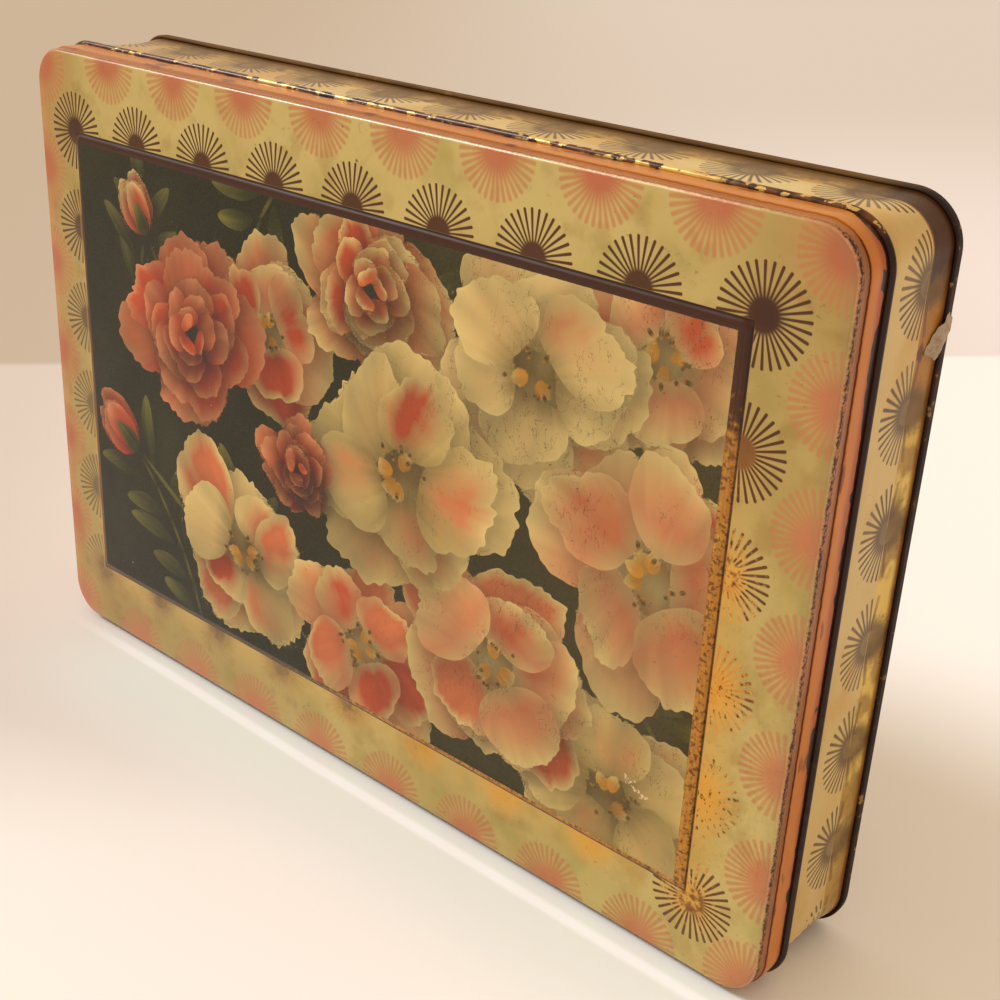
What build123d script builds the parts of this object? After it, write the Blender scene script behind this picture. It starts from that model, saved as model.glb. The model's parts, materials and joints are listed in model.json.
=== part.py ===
from build123d import *
from math import acos, cos, degrees, radians, sin
import os

# Shallow slip-lid tin for recipe cards, made from three pieces of tinplate.
#
# Each piece is drawn lying flat on its base, with the base rim at height 0 and the lid on top.
# A section of sheet is drawn for the right-hand side: x is the offset outwards from the lid's
# upright band, y is the height above the base rim. The section is then carried round the rounded
# rectangle of the tin. The finished pieces stand on the long edge, with the lid facing -Y.

# ---- sheet and clearances (mm) ----
sheet = 0.30              # thickness of the tinplate
lid_clearance = 0.30      # lid to body, all round and above the mouth
seam_play = 0.06          # between two layers folded into the base seam

# ---- plan of the tin ----
lid_length = 294.8        # over the lid's upright band
lid_width = 200.3
corner_radius = 11.5      # of the upright band
tin_depth = 44.0          # lid face to base rim

# ---- lid edge, band, skirt and rolled rim (bend radii are at the middle of the sheet) ----
edge_bend = 0.75          # bend radius between face and band
band_depth = 3.6          # face to the start of the step
step_out = 0.6            # how far the skirt stands out from the band
step_angle = 45.0
step_bend = 0.4
neck_bend = 0.75          # bend radius of the neck above the rolled rim
curl_diameter = 2.0       # rolled rim, over the outside
curl_depth = 12.1         # face to the middle of the rolled rim
curl_end_angle = 95.0     # where the rolled sheet ends, from straight out

# ---- raised picture panel on the lid ----
panel_length = 252.0
panel_width = 153.3
panel_corner = 3.0        # corner radius in plan
panel_raise = 0.7
panel_bevel = 1.6         # width of its sloping edge in plan
panel_shift_x = -1.6      # the press sets the panel slightly off centre
panel_shift_y = -0.5

# ---- body wall ----
hem_depth = 4.0           # inner leg of the hem at the mouth
hem_bend = 0.30
crease_height = 10.7      # base rim to the crease above the flared foot
crease_bend = 0.4
foot_lean_top = 5.0       # lean of the foot just under the crease
foot_lean_low = 10.5      # lean of the foot just above the seam

# ---- folded side seam of the wall, on the left short side ----
lock_width = 5.0
lock_layers = 3           # layers of sheet folded inside the wall
lock_corner = 0.3
lock_margin = 1.0         # from the crease, and from the hem
lock_line_width = 0.3     # fine line that shows outside
lock_line_depth = 0.12

# ---- double seam and base ----
seam_height = 2.96        # base rim to the top of the seam
hook_shortfall = 0.2      # from the tip of each hook to the fold that it points at
base_height = 3.55        # base rim to the inside face of the base
base_bend = 0.65          # bend radius between the flat and the chuck wall
bead_inset = 9.0          # chuck wall to the stiffening step of the base
bead_raise = 0.6
bead_bevel = 1.0
bead_corner = 6.0         # corner radius in plan

# ---- worked out: places of the middle of the sheet on the section ----
layer = sheet + seam_play
band_mid = -sheet / 2
wall_mid = -sheet - lid_clearance - sheet / 2
mouth_height = tin_depth - sheet - lid_clearance
curl_mid_radius = (curl_diameter - sheet) / 2
curl_x = band_mid + curl_mid_radius
lean_top = radians(foot_lean_top)
lean_low = radians(foot_lean_low)
foot_height = crease_height - seam_height - crease_bend * (sin(lean_top) + sin(lean_low))
foot_curve = foot_height / (sin(lean_low) - sin(lean_top))
foot_spread = foot_curve * (cos(lean_top) - cos(lean_low)) + crease_bend * (2 - cos(lean_top) - cos(lean_low))
foot_mid = wall_mid + foot_spread
chuck_mid = foot_mid - layer
base_edge = chuck_mid - base_bend
fold_height = 2 * layer + sheet / 2
seam_fold_height = seam_height - layer - sheet / 2


def sheet_section(start, heading, *moves):
    """Section of sheet that follows runs and bends of its middle line.

    A number is a straight run. A pair is a bend: its angle, positive to the left, and its radius.
    """
    point, way = Vector(*start), heading
    left, right = [], []
    for move in moves:
        forward = Vector(1, 0).rotate(Axis.Z, way)
        across = Vector(0, sheet / 2).rotate(Axis.Z, way)
        if isinstance(move, tuple):
            angle, radius = move
            side = 1 if angle > 0 else -1
            centre = point + Vector(0, side * radius).rotate(Axis.Z, way)
            left.append(CenterArc(centre, radius - side * sheet / 2, way - 90 * side, angle))
            right.append(CenterArc(centre, radius + side * sheet / 2, way - 90 * side, angle))
            way += angle
            point = centre - Vector(0, side * radius).rotate(Axis.Z, way)
        else:
            end = point + forward * move
            left.append(Line(point + across, end + across))
            right.append(Line(point - across, end - across))
            point = end
    caps = [Line(left[0] @ 0, right[0] @ 0), Line(left[-1] @ 1, right[-1] @ 1)]
    return Plane.XZ * make_face([line.edge() for line in left + right + caps])


def carried_round(section):
    """Ring made by a section carried along four straight sides and round four corners."""
    side_x = lid_length / 2 - corner_radius
    side_y = lid_width / 2 - corner_radius
    pieces = []
    for turn, reach, run in ((0, lid_length / 2, side_y), (90, lid_width / 2, side_x)):
        straight = extrude(Pos(reach, 0, 0) * section, run, dir=(0, 1, 0), both=True)
        pieces += [Rot(0, 0, turn) * straight, Rot(0, 0, turn + 180) * straight]
    quarter = revolve(Pos(corner_radius, 0, 0) * section, Axis.Z, 90)
    for turn, way_x, way_y in ((0, 1, 1), (90, -1, 1), (180, -1, -1), (270, 1, -1)):
        pieces.append(Pos(way_x * side_x, way_y * side_y, 0) * Rot(0, 0, turn) * quarter)
    return pieces


def plan_slab(offset, top):
    """Flat sheet over the plan of the tin, offset from the lid's band, with its top at a height."""
    outline = RectangleRounded(
        lid_length + 2 * offset, lid_width + 2 * offset, corner_radius + offset
    )
    return Pos(0, 0, top - sheet) * extrude(outline, sheet)


def pressed_up(length, width, corner, bevel, rise):
    """Flat-topped block with sloping sides, as a press tool that raises a panel."""
    low = RectangleRounded(length, width, corner)
    high = RectangleRounded(length - 2 * bevel, width - 2 * bevel, corner - bevel)
    return loft([low, Pos(0, 0, rise) * high], ruled=True)


def lid():
    """Printed lid: raised panel, rounded edge, band, step, skirt, neck and rolled rim."""
    lean = radians(step_angle)
    slope_run = (step_out - 2 * step_bend * (1 - cos(lean))) / sin(lean)
    step_drop = 2 * step_bend * sin(lean) + slope_run * cos(lean)
    neck_turn = acos(1 - step_out / (neck_bend + curl_mid_radius))
    neck_drop = (neck_bend + curl_mid_radius) * sin(neck_turn)
    rim = sheet_section(
        (band_mid - edge_bend, tin_depth - sheet / 2),
        0,
        (-90, edge_bend),
        band_depth - edge_bend - sheet / 2,
        (step_angle, step_bend),
        slope_run,
        (-step_angle, step_bend),
        curl_depth - band_depth - step_drop - neck_drop,
        (-degrees(neck_turn), neck_bend),
        (180 + degrees(neck_turn) + curl_end_angle, curl_mid_radius),
    )
    tool = pressed_up(panel_length, panel_width, panel_corner, panel_bevel, panel_raise)
    face = plan_slab(band_mid - edge_bend, tin_depth)
    face += Pos(panel_shift_x, panel_shift_y, tin_depth) * tool
    face -= Pos(panel_shift_x, panel_shift_y, tin_depth - sheet) * tool
    return face + carried_round(rim)


def body_wall():
    """Wall of one strip: hem at the mouth, crease, flared foot and the hook inside the base seam."""
    hem_y = mouth_height - hem_bend - sheet / 2
    wall_ring = carried_round(
        sheet_section(
            (wall_mid - 2 * hem_bend, hem_y - hem_depth),
            90,
            hem_depth,
            (-180, hem_bend),
            hem_y - crease_height,
            (foot_lean_top, crease_bend),
            (foot_lean_low - foot_lean_top, foot_curve),
            (-foot_lean_low, crease_bend),
            seam_height - fold_height,
            (180, layer),
            seam_fold_height - hook_shortfall - fold_height,
        )
    )
    body = wall_ring[0] + wall_ring[1:]

    lock_low = crease_height + lock_margin
    lock_high = hem_y - hem_depth - lock_margin
    lock_depth = lock_layers * sheet
    inside = lid_length / 2 + wall_mid - sheet / 2
    lock = extrude(RectangleRounded(lock_depth + sheet, lock_width, lock_corner), lock_high - lock_low)
    body += Pos(-inside + (lock_depth - sheet) / 2, 0, lock_low) * lock
    line = Box(2 * lock_line_depth, lock_line_width, hem_y - crease_height)
    return body - Pos(-inside - sheet, 0, (hem_y + crease_height) / 2) * line


def bottom_panel():
    """Base: stiffened flat, chuck wall, and the seam rolled round the wall's hook."""
    seam = sheet_section(
        (base_edge, base_height - sheet / 2),
        0,
        (-90, base_bend),
        base_height - sheet / 2 - base_bend - fold_height,
        (180, 2 * layer),
        seam_fold_height - fold_height,
        (180, layer),
        seam_fold_height - fold_height - hook_shortfall,
    )
    bead_length = lid_length + 2 * (base_edge - bead_inset)
    bead_width = lid_width + 2 * (base_edge - bead_inset)
    tool = pressed_up(bead_length, bead_width, bead_corner, bead_bevel, bead_raise)
    flat = plan_slab(base_edge, base_height)
    flat += Pos(0, 0, base_height) * tool
    flat -= Pos(0, 0, base_height - sheet) * tool
    return flat + carried_round(seam)


# ---- stand the finished pieces on the long edge ----
overall_depth = tin_depth + panel_raise
half_height = lid_width / 2 + curl_x + curl_diameter / 2
standing = Location((0, overall_depth / 2, half_height), (90, 0, 0))

os.makedirs("parts", exist_ok=True)
for name, piece in (("lid", lid()), ("body_wall", body_wall()), ("bottom_panel", bottom_panel())):
    export_step(standing * piece, f"parts/{name}.step")
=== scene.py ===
"""Dressed recipe-card tin: printed lid with a floral panel, printed wall, seamed base and studio.

Every shape is worked out in millimetres with the tin lying on its base: x along the length, y
along the width and the height above the base rim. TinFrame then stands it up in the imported
model's frame. Materials are shader maths on those same places, so each print sits where it is.
"""

from __future__ import annotations

import json
import logging
from dataclasses import dataclass
from enum import Enum, IntEnum
from typing import Iterable, Iterator, Sequence

import bmesh
import bpy
import numpy as np
from mathutils import Matrix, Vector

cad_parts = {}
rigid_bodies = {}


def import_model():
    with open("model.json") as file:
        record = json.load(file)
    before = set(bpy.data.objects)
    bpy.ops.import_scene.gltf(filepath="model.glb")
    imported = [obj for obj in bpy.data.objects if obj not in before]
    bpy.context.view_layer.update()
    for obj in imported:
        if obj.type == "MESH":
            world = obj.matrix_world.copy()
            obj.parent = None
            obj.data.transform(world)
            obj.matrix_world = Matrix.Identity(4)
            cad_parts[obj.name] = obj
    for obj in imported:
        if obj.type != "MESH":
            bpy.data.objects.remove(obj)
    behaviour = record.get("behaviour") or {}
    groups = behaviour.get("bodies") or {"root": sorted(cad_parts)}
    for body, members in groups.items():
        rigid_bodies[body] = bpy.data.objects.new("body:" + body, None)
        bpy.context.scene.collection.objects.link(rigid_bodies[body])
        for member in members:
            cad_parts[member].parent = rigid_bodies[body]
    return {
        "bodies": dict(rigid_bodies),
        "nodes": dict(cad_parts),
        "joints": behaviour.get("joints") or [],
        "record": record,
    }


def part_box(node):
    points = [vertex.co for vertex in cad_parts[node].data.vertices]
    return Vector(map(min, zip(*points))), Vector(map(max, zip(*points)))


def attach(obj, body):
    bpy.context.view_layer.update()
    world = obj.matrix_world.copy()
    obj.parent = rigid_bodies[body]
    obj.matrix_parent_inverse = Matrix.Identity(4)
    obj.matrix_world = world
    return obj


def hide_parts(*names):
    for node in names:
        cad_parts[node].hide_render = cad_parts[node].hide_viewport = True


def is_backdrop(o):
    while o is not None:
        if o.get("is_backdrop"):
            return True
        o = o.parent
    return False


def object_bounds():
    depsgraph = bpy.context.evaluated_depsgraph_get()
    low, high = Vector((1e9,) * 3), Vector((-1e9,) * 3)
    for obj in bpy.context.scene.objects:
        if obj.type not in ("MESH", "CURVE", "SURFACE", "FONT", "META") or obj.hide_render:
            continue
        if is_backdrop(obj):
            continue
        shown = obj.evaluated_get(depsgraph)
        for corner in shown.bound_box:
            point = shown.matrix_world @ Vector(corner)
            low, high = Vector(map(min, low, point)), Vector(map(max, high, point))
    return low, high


Array = np.ndarray
Material = bpy.types.Material
Piece = bpy.types.Object
Socket = bpy.types.NodeSocket
Tree = bpy.types.NodeTree
Colour = tuple[int, int, int]
Move = float | tuple[float, float]
Ring = tuple[Array, float]

MM = 0.001
CHART = "section"
SHRUNK = (0.8, 0.55, 0.3, 0.08)
LOG = logging.getLogger("card_tin")


def linear(colour: Sequence[float]) -> Array:
    """Turns sRGB values of 0 to 255 into linear light.

    Args:
        colour: One colour, or an array whose last axis holds red, green and blue.

    Returns:
        Values of 0 to 1: the sRGB curve undone, in its straight and its power part.
    """
    share = np.asarray(colour, float) / 255
    return np.where(share <= 0.04045, share / 12.92, ((share + 0.055) / 1.055) ** 2.4)


# ---- the print ----


class Tone(Enum):
    """Inks, lacquers and metals of the tin, colours of the table and backdrop, and painted light and shade,
    as sRGB colours.
    """

    CREAM = (187, 166, 100)
    CREAM_DEEP = (171, 146, 82)
    CREAM_GREEN = (159, 149, 81)
    CREAM_DULL = (148, 117, 58)
    CORAL = (173, 92, 62)
    CORAL_RAY = (178, 116, 72)
    BROWN = (61, 34, 20)
    UMBER = (103, 62, 31)
    KHAKI = (99, 84, 45)
    GOLD = (198, 126, 41)
    GILT = (212, 156, 61)
    GOLD_PALE = (238, 196, 108)
    # pale colour of the painted highlight on the lid's edge bend, and of a scrape in the picture
    SHINE = (242, 208, 168)
    BRASS = (178, 122, 50)
    RUST = (39, 18, 8)
    # painted shade where the lid face curves down into its edge
    GREY = (135, 121, 88)
    ROSE = (197, 130, 84)
    BAND = (145, 91, 49)
    STEP = (80, 28, 14)
    ORANGE = (192, 111, 30)
    ORANGE_ROSE = (198, 121, 50)
    # painted shade where the skirt turns into the neck before the rolled rim
    ORANGE_RED = (166, 83, 37)
    CURL = (44, 22, 13)
    WALL = (212, 185, 119)
    WALL_OCHRE = (204, 164, 86)
    WALL_DULL = (180, 137, 66)
    WALL_INK = (94, 66, 28)
    WALL_RAY = (78, 52, 18)
    FLARE = (176, 138, 60)
    FLARE_RUST = (160, 98, 28)
    FLARE_LIGHT = (229, 195, 96)
    FLARE_LOW = (116, 84, 40)
    FLARE_DARK = (60, 34, 18)
    SEAM = (35, 22, 15)
    LACQUER = (160, 130, 80)
    TIN = (186, 184, 178)
    PAPER = (176, 158, 134)
    TABLE = (248, 245, 240)
    # painted shade on the far left of the table
    TABLE_DIM = (212, 202, 192)
    # painted shade on the table just in front of the lid
    TABLE_NEAR = (232, 238, 232)
    # painted reflection on the table in front of the lid
    STREAK = (250, 255, 255)
    BACK = (208, 199, 188)
    # painted shade on the left of the backdrop
    BACK_DIM = (188, 173, 152)
    # painted light on the right of the backdrop
    BACK_PALE = (230, 221, 217)


# ---- shader maths ----


class Field:
    """A number that varies over a surface; arithmetic on it adds shader nodes."""

    def __init__(self, tree: Tree, socket: Socket) -> None:
        """Keeps the tree and the socket that gives the number."""
        self.tree = tree
        self.socket = socket

    def math(self, operation: str, *others: Number) -> Field:
        """One operation of a Math node, on this value and others."""
        node = add_node(self.tree, "Math", self, *others, operation=operation)
        return Field(self.tree, node.outputs[0])

    def __add__(self, other: Number) -> Field:
        """Sum."""
        return self.math("ADD", other)

    def __sub__(self, other: Number) -> Field:
        """Difference."""
        return self.math("SUBTRACT", other)

    def __mul__(self, other: Number) -> Field:
        """Product."""
        return self.math("MULTIPLY", other)

    def __rsub__(self, other: float) -> Field:
        """A plain number less this field."""
        return self.math("MULTIPLY_ADD", -1.0, other)

    __radd__ = __add__
    __rmul__ = __mul__

    def size(self) -> Field:
        """The value without its sign."""
        return self.math("ABSOLUTE")

    def most(self, other: Number) -> Field:
        """The larger of two."""
        return self.math("MAXIMUM", other)

    def least(self, other: Number) -> Field:
        """The smaller of two."""
        return self.math("MINIMUM", other)

    def near_step(self, step: float, shift: float = 0.0) -> Field:
        """The nearest of a row of places, which are a step apart and start at a shift."""
        return ((self - shift) * (1 / step)).math("ROUND") * step + shift

    def toward(self, other: Number, share: Number) -> Field:
        """The value moved by a share of the way to another one."""
        return self + (other - self) * share

    def positive(self) -> Field:
        """1 where the value is over 0, else 0."""
        return self.rise(-0.01, 0.01)

    def rise(self, low: float, high: float) -> Field:
        """A smooth step from 0 at low to 1 at high; it falls where low is the larger."""
        node = add_node(self.tree, "MapRange", self, low, high, interpolation_type="SMOOTHSTEP")
        return Field(self.tree, node.outputs[0])


Number = Field | float
Ink = Tone | Socket


def plug(tree: Tree, value: Number | Ink, socket: Socket) -> None:
    """Feeds a value to a socket.

    Args:
        tree: The material's nodes.
        value: A field, another socket, a tone or a plain number.
        socket: The socket that takes it.
    """
    if isinstance(value, Field):
        tree.links.new(value.socket, socket)
    elif isinstance(value, Socket):
        tree.links.new(value, socket)
    elif isinstance(value, Tone):
        socket.default_value = (*linear(value.value), 1.0)
    else:
        socket.default_value = value


def add_node(tree: Tree, kind: str, *values: Number | Ink, **settings: str) -> bpy.types.Node:
    """Adds a shader node.

    Args:
        tree: The material's nodes.
        kind: Blender's name of the node, after ShaderNode.
        values: What feeds its first sockets.
        settings: Its own settings by name.

    Returns:
        The node.
    """
    node = tree.nodes.new("ShaderNode" + kind)
    for name, setting in settings.items():
        setattr(node, name, setting)
    for socket, value in zip(node.inputs, values):
        plug(tree, value, socket)
    return node


@dataclass(frozen=True)
class Burst:
    """A printed sunburst: a disc with straight round-ended rays, in millimetres.

    Attributes:
        disc: Radius of the disc.
        reach: Radius of the ends of the rays.
        ray: Half the width of a ray at its end.
        count: Rays in the full circle.
        soft: Half the width of a ray's blurred edge.
        disc_soft: Half the width of the disc's blurred edge.
    """

    disc: float
    reach: float
    ray: float
    count: int
    soft: float
    disc_soft: float

    START = 0.6  # of the disc's radius, where a ray starts
    SLIM = 0.4  # of a ray's width at its end, its width at the middle


class Brush:
    """Builds one material in plain steps; places and sizes are in millimetres.

    Its colour starts as one ink, and each later ink is laid over what is there.
    """

    SHEEN = 0.2  # specular level
    COAT_ROUGH = 0.12

    def __init__(self, name: str, ground: Ink) -> None:
        """Starts a material.

        Args:
            name: The material's name.
            ground: The ink that it starts with.
        """
        self.colour = ground
        self.material = bpy.data.materials.new(name)
        self.material.use_nodes = True
        self.tree = self.material.node_tree
        self.tree.nodes.clear()
        coordinates = add_node(self.tree, "TexCoord")
        self.spot = self.scaled(coordinates.outputs["Object"], (1 / MM,) * 3)
        self.x, self.y, self.z = self.split(self.spot)

    def split(self, vector: Socket) -> tuple[Field, Field, Field]:
        """The three parts of a vector."""
        node = add_node(self.tree, "SeparateXYZ", vector)
        return tuple(Field(self.tree, socket) for socket in node.outputs)

    def scaled(self, vector: Socket, factors: Sequence[float]) -> Socket:
        """A vector stretched by a factor for each axis."""
        return add_node(self.tree, "VectorMath", vector, tuple(factors), operation="MULTIPLY").outputs[0]

    def chart(self) -> tuple[Field, Field]:
        """Distance round the tin, and distance along its section, from the piece's own map."""
        return self.split(add_node(self.tree, "UVMap", uv_map=CHART).outputs[0])[:2]

    def noise(self, grain: float, detail: float = 2.0, stretch: Sequence[float] = (1, 1, 1)) -> Field:
        """Soft noise of about 0.5.

        Args:
            grain: Size of a blotch.
            detail: Finer layers added to it.
            stretch: How often each axis repeats it.

        Returns:
            The noise.
        """
        vector = self.spot if tuple(stretch) == (1, 1, 1) else self.scaled(self.spot, stretch)
        node = add_node(self.tree, "TexNoise", vector)
        node.inputs["Scale"].default_value = 1 / grain
        node.inputs["Detail"].default_value = detail
        return Field(self.tree, node.outputs[0])

    def specks(self, grain: float, least: float, most: float) -> Field:
        """Round specks of uneven size, one at most in each cell.

        Args:
            grain: Size of a cell.
            least: Radius of the smallest speck, as a share of the cell; under 0 leaves cells bare.
            most: Radius of the largest speck.

        Returns:
            1 in a speck and 0 outside it.
        """
        node = add_node(self.tree, "TexVoronoi", self.spot)
        node.inputs["Scale"].default_value = 1 / grain
        cell, _, _ = self.split(node.outputs["Color"])
        edge = Field(self.tree, node.outputs["Distance"]) - (cell * (most - least) + least)
        return edge.rise(0.06, -0.06)

    def mix(self, under: Ink, over: Ink, share: Number) -> Socket:
        """One colour laid over another.

        Args:
            under: The colour that is there.
            over: The colour laid on it.
            share: How much of the new colour shows.

        Returns:
            The mixed colour.
        """
        node = add_node(self.tree, "Mix", share, data_type="RGBA")
        plug(self.tree, under, node.inputs[6])
        plug(self.tree, over, node.inputs[7])
        return node.outputs[2]

    def lay(self, ink: Ink, share: Number) -> None:
        """Lays an ink over the colour so far, as much of it as the share says."""
        self.colour = self.mix(self.colour, ink, share)

    def attribute(self, name: str, colour: bool) -> Socket | Field:
        """A colour, or else a number, that the mesh carries at its points."""
        node = add_node(self.tree, "Attribute", attribute_name=name)
        return node.outputs["Color"] if colour else Field(self.tree, node.outputs["Fac"])

    def burst(self, across: Field, up: Field, shape: Burst) -> tuple[Field, Field, Field]:
        """Disc and rays of a sunburst centred where both offsets are 0.

        A point's angle is rounded to the nearest ray. It lies in the ray where its distance from
        the ray's middle line, cut to the ray's two ends, is under half the ray's width there.

        Args:
            across: Offset from the centre one way.
            up: Offset from the centre the other way.
            shape: The sunburst's sizes.

        Returns:
            The disc and the rays, each 1 inside and 0 outside, and the distance from the centre.
        """
        step = 2 * np.pi / shape.count
        radius = (across * across + up * up).math("SQRT")
        angle = up.math("ARCTAN2", across)
        off = angle - angle.near_step(step, step / 2)
        along = radius * off.math("COSINE")
        aside = radius * off.math("SINE")
        beyond = along - along.most(shape.disc * shape.START).least(shape.reach - shape.ray)
        half = along * ((1 - shape.SLIM) * shape.ray / shape.reach) + shape.SLIM * shape.ray
        gap = (beyond * beyond + aside * aside).math("SQRT") - half
        disc = (radius - shape.disc).rise(shape.disc_soft, -shape.disc_soft)
        return disc, gap.rise(shape.soft, -shape.soft), radius

    def relief(self, height: Field, depth: float) -> Socket:
        """Bump from a height of 0 to 1 that stands for a depth in millimetres.

        Args:
            height: The height.
            depth: The depth.

        Returns:
            The bumped normal.
        """
        node = add_node(self.tree, "Bump")
        node.inputs["Distance"].default_value = depth * MM
        plug(self.tree, height, node.inputs["Height"])
        return node.outputs[0]

    def surface(
        self, rough: Number, metal: Number = 0.0, coat: float = 0.0, relief: Socket | None = None
    ) -> Material:
        """Ends the material in one Principled surface of the colour so far.

        Args:
            rough: Roughness.
            metal: Share of bare metal.
            coat: Weight of a clear coat.
            relief: Normal from a bump.

        Returns:
            The finished material.
        """
        node = add_node(self.tree, "BsdfPrincipled")
        for name, value in (("Base Color", self.colour), ("Roughness", rough), ("Metallic", metal)):
            plug(self.tree, value, node.inputs[name])
        node.inputs["Specular IOR Level"].default_value = self.SHEEN
        node.inputs["Coat Weight"].default_value = coat
        node.inputs["Coat Roughness"].default_value = self.COAT_ROUGH
        if relief is not None:
            self.tree.links.new(relief, node.inputs["Normal"])
        add_node(self.tree, "OutputMaterial", node.outputs[0])
        return self.material

    def lacquered(self, rough: Field, metal: Number, wave: float) -> Material:
        """Ends the material as printed tinplate under thin lacquer, softly dented at a wave's size."""
        dents = self.noise(wave, 2) + self.noise(2.5, 3) * 0.02
        return self.surface(rough, metal, 0.07, self.relief(dents, 0.35))


# ---- geometry ----


@dataclass(frozen=True)
class TinFrame:
    """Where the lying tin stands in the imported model's frame.

    Attributes:
        rim: Y of the base rim.
        middle: Z of the tin's middle.
        length: Over the lid's band, along X.
        width: Over the lid's band, along Z.
    """

    rim: float
    middle: float
    length: float
    width: float

    @property
    def right(self) -> float:
        """X of the band's right side."""
        return self.length / 2

    @property
    def top(self) -> float:
        """Z of the band's upper side."""
        return self.width / 2 + self.middle

    @classmethod
    def measured(cls, curl_reach: float) -> TinFrame:
        """Reads the frame's boxes.

        Args:
            curl_reach: How far the rolled rim stands out from the band.

        Returns:
            The frame, in millimetres.
        """
        low, high = (np.array(corner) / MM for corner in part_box("lid"))
        _, base_high = (np.array(corner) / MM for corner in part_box("bottom_panel"))
        return cls(
            rim=float(base_high[1]),
            middle=float(low[2] + high[2]) / 2,
            length=float(high[0] - low[0]) - 2 * curl_reach,
            width=float(high[2] - low[2]) - 2 * curl_reach,
        )

    def stand(self, points: Array) -> Array:
        """Stands places up: X = x, Y = rim - height and Z = middle + y.

        Args:
            points: Lying places in millimetres.

        Returns:
            Standing places in metres.
        """
        x, y, height = np.moveaxis(np.asarray(points, float), -1, 0)
        return np.stack((x, self.rim - height, self.middle + y), -1) * MM


@dataclass(frozen=True)
class Path:
    """Stations round a rounded rectangle.

    Attributes:
        core: Point inside each station that the section turns about.
        normal: Outward direction at each station.
        run: Distance round to each station, and the whole way round last.
        radius: Corner radius at offset 0.
    """

    core: Array
    normal: Array
    run: Array
    radius: float

    def carry(self, section: Array) -> Array:
        """Ring made by a section carried round.

        A point of the section goes to core + (radius + its offset) times the outward direction,
        at its own height.

        Args:
            section: Offsets outwards and heights, one row for each point.

        Returns:
            Places, by station and by point of the section.
        """
        plan = self.core[:, None] + (self.radius + section[None, :, :1]) * self.normal[:, None]
        heights = np.broadcast_to(section[:, 1], plan.shape[:2])
        return np.concatenate((plan, heights[..., None]), -1)


@dataclass(frozen=True)
class Plan:
    """A rounded rectangle, with the same count of stations whatever its size.

    Attributes:
        length: Size along x.
        width: Size along y.
        radius: Corner radius.
        shift: Place of its middle.
        stops: Extra stations on the left side, from its middle.
    """

    length: float
    width: float
    radius: float
    shift: tuple[float, float] = (0.0, 0.0)
    stops: tuple[float, ...] = ()

    LONG = 72  # stations on an upper or lower side
    SHORT = 48  # on a left or right side
    TURN = 14  # round a corner

    def path(self) -> Path:
        """Stations from the right side's lower end, anticlockwise.

        Each side's stations are evenly spaced, and each corner's are at even angles.

        Returns:
            The path.
        """
        reach = np.array((self.length, self.width)) / 2 - self.radius
        cores, normals = [], []
        for quarter in range(4):
            angle = quarter * np.pi / 2
            out = np.round((np.cos(angle), np.sin(angle)))
            way = np.array((-out[1], out[0]))
            along = abs(way @ reach)
            count = self.LONG if quarter % 2 else self.SHORT
            places = np.linspace(-along, along, count, endpoint=False)
            if quarter == 2 and self.stops:
                places = np.unique(np.concatenate((places, self.stops)))
            cores.append(out * reach + places[:, None] * way)
            normals.append(np.repeat(out[None], len(places), 0))
            turn = angle + np.linspace(0, np.pi / 2, self.TURN, endpoint=False)
            cores.append(np.repeat(((out + way) * reach)[None], self.TURN, 0))
            normals.append(np.stack((np.cos(turn), np.sin(turn)), -1))
        core, normal = np.concatenate(cores) + self.shift, np.concatenate(normals)
        edge = core + self.radius * normal
        steps = np.linalg.norm(np.roll(edge, -1, 0) - edge, axis=1)
        return Path(core, normal, np.concatenate(([0.0], np.cumsum(steps))), self.radius)

    def outline(self) -> Array:
        """The stations' own places."""
        path = self.path()
        return path.core + self.radius * path.normal

    def grown(self, offset: float) -> Plan:
        """The same shape offset outwards."""
        length, width = self.length + 2 * offset, self.width + 2 * offset
        return Plan(length, width, self.radius + offset, self.shift, self.stops)


@dataclass(frozen=True)
class Strip:
    """Section of bent sheet: both of its faces, each with its distance along the middle line.

    Attributes:
        left: Offsets and heights of the face on the left of the way it is drawn.
        right: The same for the other face.
        run: Distance along the middle line at each point.
        marks: Distance along the middle line at the end of each move.
    """

    left: Array
    right: Array
    run: Array
    marks: Array

    TURN = 11  # most degrees between two points of a bend
    STEP = 1.5  # most millimetres between two points of a straight run

    @classmethod
    def bent(cls, start: tuple[float, float], heading: float, sheet: float, moves: Iterable[Move]) -> Strip:
        """Follows runs and bends of the sheet's middle line.

        A number is a straight run. A pair is a bend: its angle in degrees, positive to the left,
        and its radius.

        Args:
            start: Offset and height where the middle line starts.
            heading: Its first direction in degrees.
            sheet: Thickness.
            moves: The runs and bends.

        Returns:
            The section.
        """
        point, way = np.array(start, float), np.radians(heading)
        middle, across, run, marks = [point[None]], [_side(way)[None]], [np.zeros(1)], []
        for move in moves:
            if isinstance(move, tuple):
                angle, radius = np.radians(move[0]), move[1] * np.sign(move[0])
                count = max(2, int(np.ceil(abs(move[0]) / cls.TURN)))
                ways = way + np.linspace(0, angle, count + 1)[1:]
                centre = point + radius * _side(way)
                middle.append(centre - radius * _side(ways))
                across.append(_side(ways))
                run.append(run[-1][-1] + (ways - way) * radius)
                way = ways[-1]
            else:
                count = max(1, int(np.ceil(move / cls.STEP)))
                reach = np.linspace(0, move, count + 1)[1:]
                middle.append(point + reach[:, None] * np.array((np.cos(way), np.sin(way))))
                across.append(np.repeat(_side(way)[None], count, 0))
                run.append(run[-1][-1] + reach)
            point = middle[-1][-1]
            marks.append(run[-1][-1])
        line, out = np.concatenate(middle), np.concatenate(across) * sheet / 2
        return cls(line + out, line - out, np.concatenate(run), np.array(marks))


def _side(way: float | Array) -> Array:
    """Unit vector to the left of a heading in radians."""
    return np.stack((-np.sin(way), np.cos(way)), -1)


class Face(IntEnum):
    """Material slots of a piece of tinplate: the printed or enamelled side, and the bare side."""

    OUTER = 0
    INNER = 1


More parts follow.
